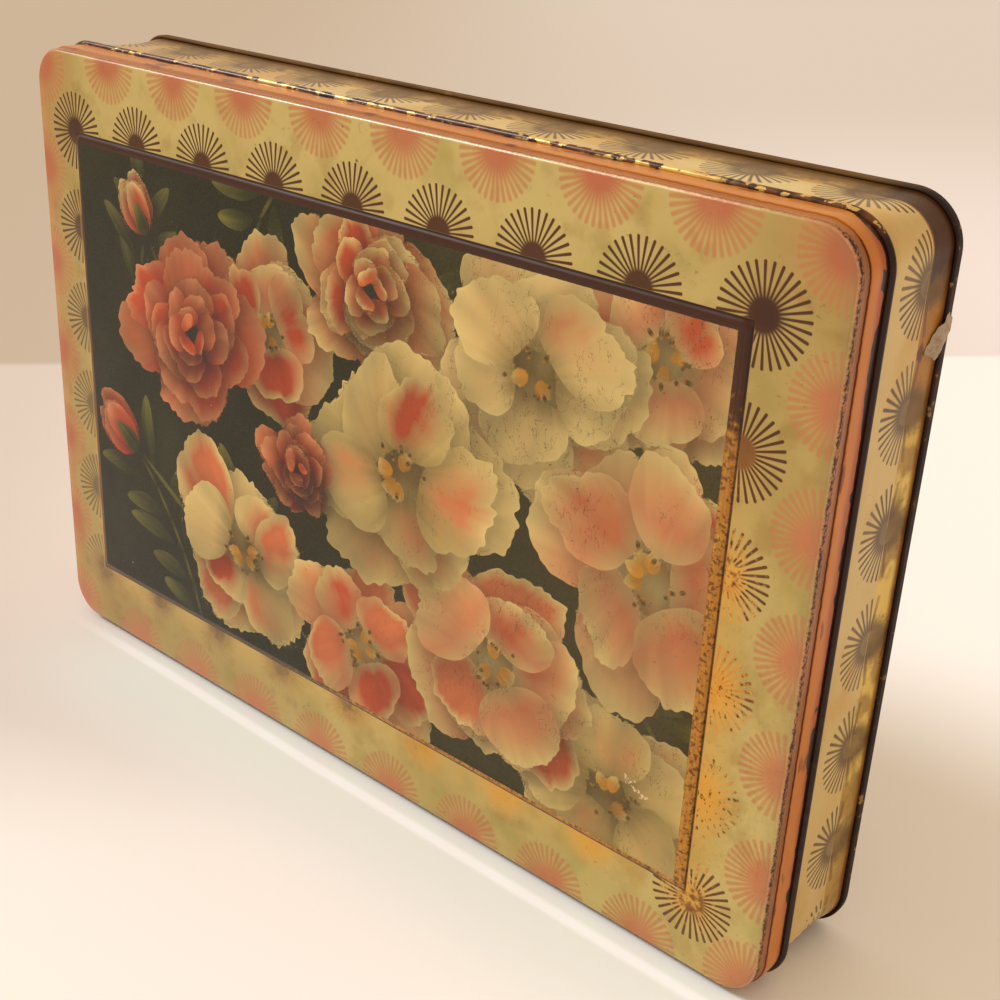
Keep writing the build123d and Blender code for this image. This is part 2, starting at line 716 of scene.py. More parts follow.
def put(name: str, data: bpy.types.ID) -> Piece:
    """Makes an object and links it to the scene.

    Args:
        name: Its name.
        data: Its mesh, light or camera.

    Returns:
        The object.
    """
    made = bpy.data.objects.new(name, data)
    bpy.context.scene.collection.objects.link(made)
    return made


def border(face: Array) -> Array:
    """Places round the edge of a grid, once each."""
    return np.concatenate((face[:-1, 0], face[-1, :-1], face[:0:-1, -1], face[0, :0:-1]))


class Shell:
    """Collects grids and flat caps and joins them into one closed mesh."""

    DECIMALS = 4  # of a millimetre, to which joined places agree

    def __init__(self, name: str, frame: TinFrame, materials: Sequence[Material]) -> None:
        """Starts an empty piece.

        Args:
            name: The piece's name.
            frame: Where the tin stands.
            materials: Materials, in the order of the slots that faces name.
        """
        self.name = name
        self.frame = frame
        self.materials = materials
        self.points: list[Array] = []
        self.faces: list[list[int]] = []
        self.charts: list[Array] = []
        self.slots: list[int] = []
        self.count = 0

    def grid(self, points: Array, along: Array, down: Array, slot: Face, closed: bool = True) -> None:
        """Adds a grid of four-sided faces.

        Args:
            points: Places by row and column.
            along: Chart value of each row, with one more than the rows where it is closed.
            down: Chart value of each column.
            slot: Material slot.
            closed: Whether the last row joins the first.
        """
        rows, columns = points.shape[:2]
        first = np.arange(rows if closed else rows - 1)[:, None]
        second = (first + 1) % rows
        left = np.arange(columns - 1)[None]
        corners = (first * columns + left, second * columns + left)
        quads = np.stack((corners[0], corners[1], corners[1] + 1, corners[0] + 1), -1).reshape(-1, 4)
        near, far = (np.broadcast_to(along[first + add], corners[0].shape) for add in (0, 1))
        up, low = (np.broadcast_to(down[left + add], corners[0].shape) for add in (0, 1))
        chart = np.stack((near, up, far, up, far, low, near, low), -1)
        self.points.append(points.reshape(-1, 3))
        self.faces.extend((quads + self.count).tolist())
        self.charts.append(chart.reshape(-1))
        self.slots.extend([int(slot)] * len(quads))
        self.count += rows * columns

    def edge(self, path: Path, strip: Strip, tip: int, down: float, slot: Face) -> None:
        """Adds the cut edge of a carried sheet, across its thickness at one tip of its section."""
        end = np.stack((strip.left[tip], strip.right[tip]))
        self.grid(path.carry(end), path.run, np.full(2, down), slot)

    def cap(self, loop: Array, slot: Face, down: float = 0.0) -> None:
        """Adds one flat face.

        Args:
            loop: Places round it.
            slot: Material slot.
            down: Chart value.
        """
        self.points.append(loop)
        self.faces.append(list(range(self.count, self.count + len(loop))))
        self.charts.append(np.tile((0.0, down), len(loop)))
        self.slots.append(int(slot))
        self.count += len(loop)

    def build(self, sharp: float = 38.0) -> Piece:
        """Joins equal places, turns all faces outwards and makes the object.

        Args:
            sharp: Edges that turn by more than this many degrees stay sharp.

        Returns:
            The object, at the origin, with its place in its mesh.
        """
        places = self.frame.stand(np.concatenate(self.points))
        rounded = np.round(places / MM, self.DECIMALS)
        _, keep, joined = np.unique(rounded, axis=0, return_index=True, return_inverse=True)
        joined = joined.reshape(-1)
        mesh = bpy.data.meshes.new(self.name)
        mesh.from_pydata(places[keep].tolist(), [], [joined[face].tolist() for face in self.faces])
        for material in self.materials:
            mesh.materials.append(material)
        mesh.polygons.foreach_set("material_index", self.slots)
        chart = mesh.uv_layers.new(name=CHART)
        chart.data.foreach_set("uv", np.concatenate(self.charts))
        work = bmesh.new()
        work.from_mesh(mesh)
        bmesh.ops.recalc_face_normals(work, faces=work.faces)
        work.to_mesh(mesh)
        work.free()
        mesh.shade_smooth()
        mesh.set_sharp_from_angle(angle=np.radians(sharp))
        return put(self.name, mesh)


def plate(shell: Shell, edge: Array, rings: Sequence[Ring], slot: Face, start: float) -> None:
    """Flat or pressed sheet inside a ring, closed in its middle by one small flat face.

    The surface runs straight from ring to ring, and inside the last one flat in SHRUNK copies.

    Args:
        shell: The piece to add it to.
        edge: Places of the outer ring.
        rings: Outlines and heights, from the outer one inwards.
        slot: Material slot.
        start: Chart value of the outer ring; it falls by the distance inwards.
    """
    loops = [edge]
    last, level = rings[-1]
    middle = last.mean(0)
    shrunk = [(middle + (last - middle) * share, level) for share in SHRUNK]
    for outline, height in (*rings, *shrunk):
        loops.append(np.column_stack((outline, np.full(len(outline), height))))
    points = np.stack(loops, 1)
    inward = np.linalg.norm(np.diff(points, axis=1), axis=-1).mean(0)
    down = start - np.concatenate(([0.0], np.cumsum(inward)))
    shell.grid(points, np.zeros(len(edge) + 1), down, slot)
    shell.cap(loops[-1], slot, float(down[-1]))


def pressed(low: Plan, bevel: float, rise: float, count: int = 6) -> list[Ring]:
    """Rings up a pressed slope: inset and height follow s = t and 3t² - 2t³ for t from 0 to 1.

    Args:
        low: Plan of the slope's foot.
        bevel: Width of the slope.
        rise: Height of the slope.
        count: Steps up it.

    Returns:
        Outlines with their rise above the foot.
    """
    rings = []
    for share in np.linspace(0, 1, count + 1):
        rings.append((low.grown(-bevel * share).outline(), rise * float(share**2 * (3 - 2 * share))))
    return rings


class Body(Enum):
    """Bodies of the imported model."""

    TIN = "tin_body"
    LID = "lid"


def seat(piece: Piece, body: Body, slot: str, *nodes: str) -> None:
    """Ties a piece to its body and hides the nodes that it stands for.

    Args:
        piece: The piece.
        body: The body that carries it.
        slot: The record's material slot; not used.
        nodes: The CAD nodes that it replaces.
    """
    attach(piece, body.value)
    if nodes:
        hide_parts(*nodes)
    LOG.info("%s: %d faces on %s", piece.name, len(piece.data.polygons), body.value)


# ---- the floral picture ----


class Hue(Enum):
    """Inks of the floral picture, as sRGB colours."""

    NIGHT = (20, 24, 6)
    MOSS = (42, 46, 14)
    LEAF = (90, 87, 33)
    CORAL = (166, 64, 35)
    SALMON = (180, 97, 58)
    ROSE = (178, 118, 77)
    CREAM = (185, 162, 102)
    PALE = (171, 148, 87)
    SHADE = (127, 101, 53)
    GOLD = (173, 117, 35)
    BROWN = (44, 25, 11)


Hues = tuple[Hue, Hue, Hue]

STEM = (Hue.MOSS, Hue.LEAF, Hue.LEAF)


@dataclass(frozen=True)
class Petal:
    """One petal or leaf, painted from its foot outwards; sizes are in millimetres.

    Attributes:
        foot: Place of its foot.
        way: Direction from foot to tip, in radians.
        length: Foot to tip.
        width: Across its widest part.
        hues: Colours at the foot, in the middle and at the tip.
        ruffle: Waviness of the outline, as a share of its size.
        narrow: How much the foot is drawn in.
        fold: Strength of the folds that fan out from the foot.
        glow: Lightness of the rim.
        rib: Strength of a pale line along the middle.
        shade: Darkness of the shadow that it throws.
        seed: Seed of its own waves and streaks.
        flame: Colour of the blaze up its middle.
        flush: Strength of the blaze.
        curve: Sideways bend of its tip, as a share of its length.
    """

    foot: tuple[float, float]
    way: float
    length: float
    width: float
    hues: Hues
    ruffle: float = 0.05
    narrow: float = 0.35
    fold: float = 0.14
    glow: float = 0.1
    rib: float = 0.0
    shade: float = 0.4
    seed: int = 0
    flame: Hue = Hue.CORAL
    flush: float = 0.0
    curve: float = 0.0

    @classmethod
    def thin(
        cls, foot: tuple[float, float], way: float, length: float, width: float, hues: Hues, shade: float
    ) -> Petal:
        """A plain stem or filament, with no waves, folds or pale rim."""
        return cls(foot, way, length, width, hues, 0, 0, 0, 0, shade=shade)

    def local(self, x: Array, z: Array) -> tuple[Array, Array]:
        """Turns places into the petal's own.

        Args:
            x: Places along the picture.
            z: Places up the picture.

        Returns:
            Distance along the petal from its foot, and across it from its bent middle line.
        """
        across, up = x - self.foot[0], z - self.foot[1]
        cos, sin = np.cos(self.way), np.sin(self.way)
        along = across * cos + up * sin
        return along, up * cos - across * sin - self.curve * along * np.abs(along) / self.length

    def distance(self, x: Array, z: Array) -> Array:
        """Distance inside the outline, negative outside it.

        About the petal's middle the outline is an ellipse, drawn in towards the foot and waved
        by cosines of its angle that fade out at the foot; the finest only frill the tip.

        Args:
            x: Places along the picture.
            z: Places up the picture.

        Returns:
            The distance in millimetres.
        """
        along, across = self.local(x, z)
        along = along - self.length / 2
        angle, radius = np.arctan2(across, along), np.hypot(along, across)
        long, wide = self.length / 2, self.width / 2
        outline = long * wide / np.hypot(wide * np.cos(angle), long * np.sin(angle))
        chance = np.random.default_rng(self.seed)
        tipward = 0.5 + 0.5 * np.cos(angle)
        waves = sum(
            chance.uniform(0.3, 1) / order**0.5 * np.cos(order * angle + chance.uniform(0, 6.3))
            * tipward ** (0.5 + order / 14)
            for order in (2, 3, 5, 8, 13, 22, 31)
        )
        return (outline * (1 + self.ruffle * waves - self.narrow * (1 - tipward) ** 2) - radius) * 0.92

    def colour(self, x: Array, z: Array, distance: Array) -> Array:
        """Linear colour, also beyond the outline.

        The three hues run into each other from foot to tip, pushed about by streaks that fan out
        from the foot. A blaze covers the middle of the fan between foot and rim. Folds, ruffles
        that grow towards the tip, and a pale rim lighten and darken them.

        Args:
            x: Places along the picture.
            z: Places up the picture.
            distance: Distance inside the outline there.

        Returns:
            Red, green and blue.
        """
        along, across = self.local(x, z)
        share = np.clip(along / self.length, 0, 1)
        fan = np.arctan2(across, along + 0.25 * self.length) * self.length / self.width
        chance = np.random.default_rng(self.seed + 1)
        streaks = sum(
            chance.uniform(0.4, 1) / order**0.35 * np.sin(order * fan + chance.uniform(0, 6.3) + 2 * share)
            for order in (3, 7, 12, 23, 41, 67)
        )
        folds = np.sin(chance.uniform(3, 5) * fan + chance.uniform(0, 6.3) + 1.5 * share)
        ruffles = np.sin(chance.uniform(9, 15) * fan + 2.5 * folds + chance.uniform(0, 6.3))
        mottle = np.sin(x / 3.1 + 2 * np.sin(z / 4.3)) * np.sin(z / 2.7 + 2 * np.sin(x / 5.1))
        share = np.clip(share + 0.06 * streaks, 0, 1)
        foot, middle, tip = (linear(hue.value) for hue in self.hues)
        low, high = np.clip(share / 0.45, 0, 1)[..., None], np.clip((share - 0.45) / 0.5, 0, 1)[..., None]
        mixed = foot + (middle - foot) * low**1.3 + (tip - middle) * high**1.2
        spread = (fan - chance.uniform(-0.35, 0.35)) / chance.uniform(0.3, 0.6)
        within = np.clip(distance / (0.22 * self.width), 0, 1)
        blaze = np.exp(-(spread**2)) * np.clip(share / 0.35, 0, 1) * within
        blaze = np.clip(blaze * self.flush * (1 + 0.35 * streaks + 0.25 * mottle), 0, 1)[..., None]
        mixed = mixed + (linear(self.flame.value) - mixed) * blaze
        light = chance.uniform(0.9, 1.06) + 0.07 * np.cos(self.way - 2.2) + 0.03 * mottle
        light = light * (1 + self.fold * folds * (0.35 + share) + self.fold * 0.8 * ruffles * share**2)
        light = light + 0.065 * streaks + self.glow * np.exp(-np.clip(distance, 0, None) / 0.9)
        light = light - 0.06 * (1 - np.clip(distance / (0.2 * self.width), 0, 1))
        light = light + self.rib * np.exp(-((across / 0.6) ** 2))
        return np.clip(mixed * light[..., None], 0, 1)


@dataclass
class Canvas:
    """Grid of points with two colours each and the distance to the edge between them.

    Where a petal's edge runs between two points, both carry the colours of both its sides, so
    the edge can be drawn sharply between them.

    Attributes:
        x: Places along the picture.
        z: Places up the picture.
        under: Colour on the outer side of the edge.
        over: Colour on the inner side.
        edge: Distance inside the edge.
        reach: Distance from an edge up to which both colours are kept.
    """

    x: Array
    z: Array
    under: Array
    over: Array
    edge: Array
    reach: float = 0.95

    @classmethod
    def blank(cls, x: Array, z: Array, ground: Array) -> Canvas:
        """Canvas of one varied colour."""
        return cls(x, z, ground.copy(), ground.copy(), np.full(x.shape, cls.reach))

    def lay(self, petal: Petal) -> None:
        """Lays one petal on top, with a soft shadow under it to the lower right.

        Args:
            petal: The petal.
        """
        size = max(petal.length, petal.width) * 1.2 + 10
        near = np.hypot(self.x - petal.foot[0], self.z - petal.foot[1]) < size
        x, z = self.x[near], self.z[near]
        if not x.size:
            return
        under, over, edge = self.under[near], self.over[near], self.edge[near]
        throw = np.clip(-petal.distance(x - 1.0, z + 1.4), 0, None)
        dark = (1 - petal.shade * np.exp(-((throw / 3.2) ** 1.2)))[:, None]
        under, over = (np.maximum(part * dark, np.minimum(part, 0.012)) for part in (under, over))
        distance = petal.distance(x, z)
        seen = np.where(edge[:, None] > 0, over, under)
        colour = petal.colour(x, z, distance)
        plain = np.abs(under - over).max(-1) < 1e-6
        ring = plain & (distance <= -self.reach) & (distance > -2 * self.reach)
        edge = np.where(ring, -self.reach, edge)
        at_edge, inside = np.abs(distance) < self.reach, distance >= self.reach
        self.under[near] = np.where(at_edge[:, None], seen, np.where(inside[:, None], colour, under))
        self.over[near] = np.where((at_edge | inside)[:, None], colour, over)
        self.edge[near] = np.where(at_edge, distance, np.where(inside, self.reach, edge))


@dataclass(frozen=True)
class Bloom:
    """Frilled flower of rings of petals, full or wide open with stamens in its heart.

    Attributes:
        place: Its heart.
        radius: Heart to petal tips.
        hues: Colours of a petal from foot to tip.
        rings: Petals, length and width of each ring, as shares of the radius.
        flush: Strength of the blazes on its petals.
        turn: Direction of its first petal.
        squash: Depth over width of the flower as it is seen.
        lean: Direction in which it is foreshortened.
        heart: Whether stamens show.
        seed: Seed of its own variety.
    """

    place: tuple[float, float]
    radius: float
    hues: Hues
    rings: tuple[tuple[int, float, float], ...]
    flush: float = 0.5
    turn: float = 0.0
    squash: float = 0.8
    lean: float = 1.57
    heart: bool = True
    seed: int = 0

    def parts(self) -> Iterator[Petal]:
        """Its petals, filaments and anthers, from the back forwards.

        Returns:
            The petals.
        """
        chance = np.random.default_rng(self.seed)
        yield Petal(
            self.near(-1.57, 0.35), 1.57, 0.6 * self.radius, 0.7 * self.radius,
            (self.hues[1], self.hues[0], self.hues[1]), 0.1, 0.0, shade=0.0, seed=self.seed,
        )
        for ring, (count, size, wide) in enumerate(self.rings):
            for index in chance.permutation(count):
                way = self.turn + 0.8 * ring + (index + chance.uniform(-0.25, 0.25)) * 2 * np.pi / count
                short = np.hypot(np.sin(way - self.lean), self.squash * np.cos(way - self.lean))
                reach = self.radius * size * chance.uniform(0.84, 1.12) * short
                yield Petal(
                    self.near(way, 0.03), way, reach, self.radius * wide * chance.uniform(0.85, 1.2),
                    self.hues, ruffle=chance.uniform(0.08, 0.15), narrow=0.4, fold=0.16,
                    shade=0.24 + 0.035 * ring, seed=int(chance.integers(9999)),
                    flame=Hue.CORAL if chance.uniform() < 0.5 else Hue.SALMON,
                    flush=self.flush * chance.uniform(0.2, 2.1) ** 1.4, curve=chance.uniform(-0.3, 0.3),
                )
        if not self.heart:
            return
        for way in chance.uniform(0, 2 * np.pi, 5):
            yield Petal(
                self.near(way, 0.04), way, 0.17 * self.radius, 0.12 * self.radius,
                (Hue.GOLD, Hue.GOLD, Hue.PALE), 0.15, 0.2, shade=0.12, seed=self.seed,
            )
        for way in chance.uniform(0, 2 * np.pi, 9):
            foot = self.near(way, chance.uniform(0.12, 0.24))
            lean, length = way + chance.uniform(-0.7, 0.7), chance.uniform(1.6, 3.6)
            yield Petal.thin(foot, lean, length, 1.3, (Hue.GOLD, Hue.BROWN, Hue.SHADE), 0.08)

    def near(self, way: float, reach: float) -> tuple[float, float]:
        """A place beside the heart, at a share of the radius."""
        across, up = reach * self.radius * np.cos(way), reach * self.radius * self.squash * np.sin(way)
        return (self.place[0] + float(across), self.place[1] + float(up))


@dataclass(frozen=True)
class Spray:
    """Leaves along a bent stem.

    Attributes:
        place: Foot of the stem.
        way: Its first direction.
        size: Length of a leaf.
        leaves: Pairs of leaves.
        bend: How far the stem turns.
        hues: Colours of a leaf from foot to tip.
        seed: Seed of its own variety.
    """

    place: tuple[float, float]
    way: float
    size: float
    leaves: int = 5
    bend: float = 0.5
    hues: Hues = (Hue.NIGHT, Hue.MOSS, Hue.LEAF)
    seed: int = 0

    def parts(self) -> Iterator[Petal]:
        """Its leaves in pairs along the stem, and one at its end.

        Returns:
            The stem's parts and the leaves.
        """
        chance = np.random.default_rng(self.seed)
        point, way = np.array(self.place, float), self.way
        step = self.size * 0.45
        for _ in range(self.leaves):
            yield Petal.thin(tuple(point), way, step * 1.1, 1.3, STEM, 0.2)
            for side in (-1, 1):
                lean, length = way + side * chance.uniform(0.4, 0.8), self.size * chance.uniform(0.8, 1.2)
                yield Petal(
                    tuple(point), lean, length, self.size * 0.28, self.hues, ruffle=0.03, narrow=0.4,
                    glow=0.05, rib=0.25, shade=0.3, seed=int(chance.integers(9999)), curve=side * 0.2,
                )
            point = point + step * np.array((np.cos(way), np.sin(way)))
            way += self.bend / self.leaves
        yield Petal(
            tuple(point), way, self.size, self.size * 0.3, self.hues, 0.03, 0.5, rib=0.25, seed=self.seed
        )


@dataclass(frozen=True)
class Bud:
    """Half-open bud in its green cup.

    Attributes:
        place: Foot of its petals.
        way: Direction in which it points.
        size: Length of a petal.
        hues: Colours of a petal from foot to tip.
        seed: Seed of its own variety.
    """

    place: tuple[float, float]
    way: float
    size: float
    hues: Hues
    seed: int = 0

    def parts(self) -> Iterator[Petal]:
        """Its stem, four petals and two sepals.

        Returns:
            The parts, from the back forwards.
        """
        reach = 2.2 * self.size
        back = (self.place[0] - reach * np.cos(self.way), self.place[1] - reach * np.sin(self.way))
        yield Petal.thin(back, self.way, 2.3 * self.size, 1.6, STEM, 0.3)
        for number, (lean, wide) in enumerate(((-0.34, 0.55), (0.36, 0.55), (0.1, 0.7), (-0.12, 0.5))):
            yield Petal(
                self.place, self.way + lean, self.size * (1 - 0.06 * number), self.size * wide, self.hues,
                0.09, 0.2, seed=self.seed + number, flush=0.8, curve=-0.5 * lean,
            )
        for lean in (-0.45, 0.45):
            yield Petal(
                self.place, self.way + lean, self.size * 0.5, self.size * 0.2,
                (Hue.MOSS, Hue.MOSS, Hue.LEAF), 0.02, 0.2, seed=self.seed, curve=-lean,
            )


Motif = Bloom | Spray | Bud

CORALS = (Hue.CORAL, Hue.CORAL, Hue.ROSE)
SALMONS = (Hue.CORAL, Hue.SALMON, Hue.CREAM)
BLUSHES = (Hue.CREAM, Hue.ROSE, Hue.CREAM)
CREAMS = (Hue.SHADE, Hue.CREAM, Hue.CREAM)
PALES = (Hue.SHADE, Hue.PALE, Hue.CREAM)
OPEN = ((6, 1.0, 0.95), (5, 0.84, 0.8))
FULL = ((7, 1.0, 0.8), (6, 0.84, 0.72), (5, 0.66, 0.6), (5, 0.48, 0.5), (4, 0.32, 0.38), (3, 0.2, 0.26))

MOTIFS: tuple[Motif, ...] = (
    Spray((-70, -76), 1.9, 26, 5, 0.5, seed=3),
    Spray((-14, -64), 2.6, 26, 4, -0.6, seed=5),
    Spray((-30, 76), -2.2, 24, 4, 0.8, seed=7),
    Spray((48, 74), -1.8, 22, 3, 0.4, seed=8),
    Spray((100, -20), -1.0, 26, 3, 0.4, seed=11),
    Spray((-98, 30), 1.2, 22, 3, 0.5, seed=12),
    Bud((-100, -24), 2.6, 25, CORALS, seed=2),
    Bud((-90, 50), 2.1, 21, SALMONS, seed=4),
    Bloom((-34, 34), 30, BLUSHES, OPEN, 0.9, 0.7, 0.7, 0.8, seed=41),
    Bloom((8, 56), 31, SALMONS, FULL, 0.6, 0.4, 0.8, 1.2, False, seed=21),
    Bloom((100, -60), 34, PALES, OPEN, 0.2, 0.9, 0.8, seed=31),
    Bloom((104, 62), 30, BLUSHES, OPEN, 0.5, 0.3, 0.8, seed=38),
    Bloom((66, 48), 37, CREAMS, OPEN, 0.25, 0.2, 0.8, 1.2, seed=32),
    Bloom((-48, -42), 35, CREAMS, OPEN, 0.9, 0.6, 0.75, 1.0, seed=33),
    Bloom((6, -54), 32, BLUSHES, OPEN, 1.0, 1.6, 0.8, seed=34),
    Bloom((-70, 24), 33, CORALS, FULL, 0.9, 0.0, 0.85, 2.0, False, seed=22),
    Bloom((106, 6), 38, BLUSHES, OPEN, 0.7, 2.0, 0.85, 0.4, seed=35),
    Bloom((58, -38), 38, BLUSHES, OPEN, 1.2, 0.5, 0.8, 1.3, seed=37),
    Bloom((20, 6), 41, PALES, OPEN, 0.35, 0.3, 0.8, 1.9, seed=36),
    Bloom((-22, -6), 18, CORALS, FULL, 0.8, 1.0, 0.85, 1.5, False, seed=23),
)


def ground(x: Array, z: Array) -> Array:
    """Dark green ground with soft paler patches, as of leaves far behind: a sum of seven sines.

    Args:
        x: Places along the picture.
        z: Places up the picture.

    Returns:
        Red, green and blue.
    """
    chance = np.random.default_rng(5)
    waves = sum(
        np.sin((x * np.cos(turn) + z * np.sin(turn)) / size + chance.uniform(0, 6.3))
        for turn, size in zip(chance.uniform(0, 3.1, 7), chance.uniform(6, 22, 7))
    )
    share = np.clip(0.25 + 0.16 * waves, 0, 1)[..., None]
    night, moss = linear(Hue.NIGHT.value), linear(Hue.MOSS.value)
    return night + (moss - night) * share * 0.7


def paint(piece: Piece, middle: tuple[float, float]) -> None:
    """Paints the floral picture on the points of a mesh.

    Args:
        piece: The printed layer.
        middle: X and Z of the picture's middle in millimetres.
    """
    mesh = piece.data
    places = np.empty(3 * len(mesh.vertices))
    mesh.vertices.foreach_get("co", places)
    x, _, z = places.reshape(-1, 3).T / MM
    x, z = x - middle[0], z - middle[1]
    canvas = Canvas.blank(x, z, ground(x, z))
    for motif in MOTIFS:
        for petal in motif.parts():
            canvas.lay(petal)
    for name, colour in (("petal_under", canvas.under), ("petal_over", canvas.over)):
        layer = mesh.attributes.new(name, "FLOAT_COLOR", "POINT")
        layer.data.foreach_set("color", np.column_stack((colour, np.ones(len(x)))).reshape(-1))
    mesh.attributes.new("petal_edge", "FLOAT", "POINT").data.foreach_set("value", canvas.edge)


# ---- finishes ----


@dataclass(frozen=True)
class TinPlate:
    """Bare tinplate inside the tin, dull and lightly scuffed."""

    def make(self) -> Material:
        """Grey metal with drawn streaks and stains.

        Returns:
            The material.
        """
        brush = Brush("tinplate", Tone.TIN)
        streaks = brush.noise(6, 4, (0.06, 1, 1))
        brush.lay(Tone.LACQUER, brush.noise(18, 3).rise(0.52, 0.72) * 0.3)
        return brush.surface(streaks * 0.22 + 0.28, 0.9, relief=brush.relief(streaks, 0.02))


class FacePrint:
    """Print on the lid's face, laid part by part. Fields are 1 on their part and 0 elsewhere.

    Attributes:
        across: Offset from the raised panel's middle along the length.
        up: Offset from its middle along the width.
        inside: Distance outwards from the panel's foot.
        outside: Beside the panel.
        left: Strip to its left.
        side: Strip to its right.
        low: Strip under it, up to the right corner.
        glow: Right part of that strip, rubbed to gold.
        rub: Rubbed part of the strip to the right, most of it low down.
        near: Next to the panel's foot.
        ragged: Noise of about 0 that frays edges.
        gold: Where gold lacquer shows.
        gilt: Colour of that lacquer.
    """

    BROWN = Burst(4.3, 12.2, 0.43, 32, 0.15, 0.8)
    CORAL = Burst(6.0, 12.4, 0.58, 36, 0.32, 3.0)
    ALONG = (31.4, 16.9)  # pitch and one place of the coral sunbursts along the length
    UPWARD = (31.2, -0.2)  # the same along the width
    MARGINS = (2.0, 3.6, 2.0, 3.1)  # panel's foot to picture: left, right, low and high
    SCRAPE = (107.6, -53.3)  # middle of a small scrape, from the panel's middle

    def __init__(self, brush: Brush, frame: TinFrame, panel: Plan) -> None:
        """Works out the fields.

        Args:
            brush: The material being built.
            frame: Where the tin stands.
            panel: Plan of the raised panel's foot.
        """
        self.brush, self.frame, self.panel = brush, frame, panel
        across, up = brush.x - panel.shift[0], brush.z - (frame.middle + panel.shift[1])
        self.across, self.up = across, up
        self.inside = (across.size() - panel.length / 2).most(up.size() - panel.width / 2)
        self.outside = self.inside.rise(-0.12, 0.12)
        self.left = across.rise(-114, -123)
        self.side = across.rise(112, 121)
        self.low = up.rise(-68, -77) * across.rise(117, 110)
        self.glow = self.low * across.rise(-60, 40)
        self.rub = self.side * up.rise(70, -30) * (1.0 - up.rise(-62, -70) * 0.55)
        self.near = self.inside.rise(12, 0)
        self.ragged = brush.noise(2.0, 4) - 0.5
        rubbed = self.rub * (self.near * 0.75 + 0.5) * 1.25 + self.glow * 0.9
        self.gold = (rubbed + self.ragged * 1.6 - 0.5).rise(0.0, 0.35)
        bright = brush.noise(4, 3).rise(0.4, 0.7).most(up.rise(0, -50) * 0.8)
        self.gilt = brush.mix(Tone.GOLD, Tone.GILT, bright)

    def lay(self, picture: bool) -> Field:
        """Lays all the parts in order.

        Args:
            picture: Whether the floral picture's colours are on the mesh.

        Returns:
            Where the face is bare or gold.
        """
        self._cream()
        self._coral()
        flecks = self._brown()
        bare = self._frame_band()
        self.brush.lay(Tone.RUST, flecks)
        if picture:
            self._picture()
        self._grime()
        return self.gold.most(bare) * self.rub.most(self.glow)

    def _cream(self) -> None:
        """Blotches on the cream ground, duller at the left, low down and at the upper right."""
        brush = self.brush
        brush.lay(Tone.CREAM_DEEP, brush.noise(26, 3).rise(0.42, 0.72) * 0.8)
        brush.lay(Tone.CREAM_GREEN, brush.noise(13, 2).rise(0.5, 0.75) * 0.5)
        left = (self.up.rise(-70, -90) * self.across.rise(20, -60)).most(self.across.rise(-116, -130))
        dull = brush.noise(9, 4).rise(0.5, 0.72) * 0.4 + left * 0.5
        corner = self.across.rise(80, 135).least(self.up.rise(20, 90)) * 0.3
        right = self.across.rise(110, 130) * (self.up.rise(-50, 40) * 0.22 + 0.03)
        brush.lay(Tone.CREAM_DULL, dull + corner + right)

    def _coral(self) -> None:
        """Soft coral sunbursts centred on the face's edge and in its corners, and rosy corners."""
        brush = self.brush
        edge_x, edge_z = self.frame.length / 2 - 0.6, self.frame.width / 2 - 0.6
        height = brush.z - self.frame.middle
        x, z = brush.x.size(), height.size()
        side = (x - edge_x - (z - edge_z)).positive()
        corner = (x - (edge_x - 19)).positive() * (z - (edge_z - 17)).positive()
        off_x = (brush.x - brush.x.near_step(*self.ALONG)).toward(x - edge_x, side)
        off_z = (height - height.near_step(*self.UPWARD)).toward(z - edge_z, 1.0 - side)
        off_x = off_x.toward(x - (edge_x - 2.5), corner)
        off_z = off_z.toward(z - (edge_z - 4.5), corner)
        disc, rays, radius = brush.burst(off_x, off_z, self.CORAL)
        rays = rays.most(radius.rise(6.0, 3.2))
        fade = brush.noise(9, 2)
        blush = (x.rise(124, edge_x) * z.rise(78, edge_z)).most(brush.x.rise(-138, -edge_x) * 0.8)
        brush.lay(Tone.ROSE, blush * 0.6)
        brush.lay(Tone.CORAL_RAY, rays * (fade * 0.5 + 0.5))
        soft = brush.x.rise(90, 140).most(brush.z.rise(60, 10)) * brush.z.rise(185, 150)
        brush.lay(brush.mix(Tone.CORAL, Tone.ROSE, soft * 0.45), disc * (fade * 0.4 + 0.5))
        dusk = brush.x.rise(126, edge_x) * brush.z.rise(182, self.frame.middle + edge_z)
        brush.lay(Tone.BAND, dusk * 0.35)

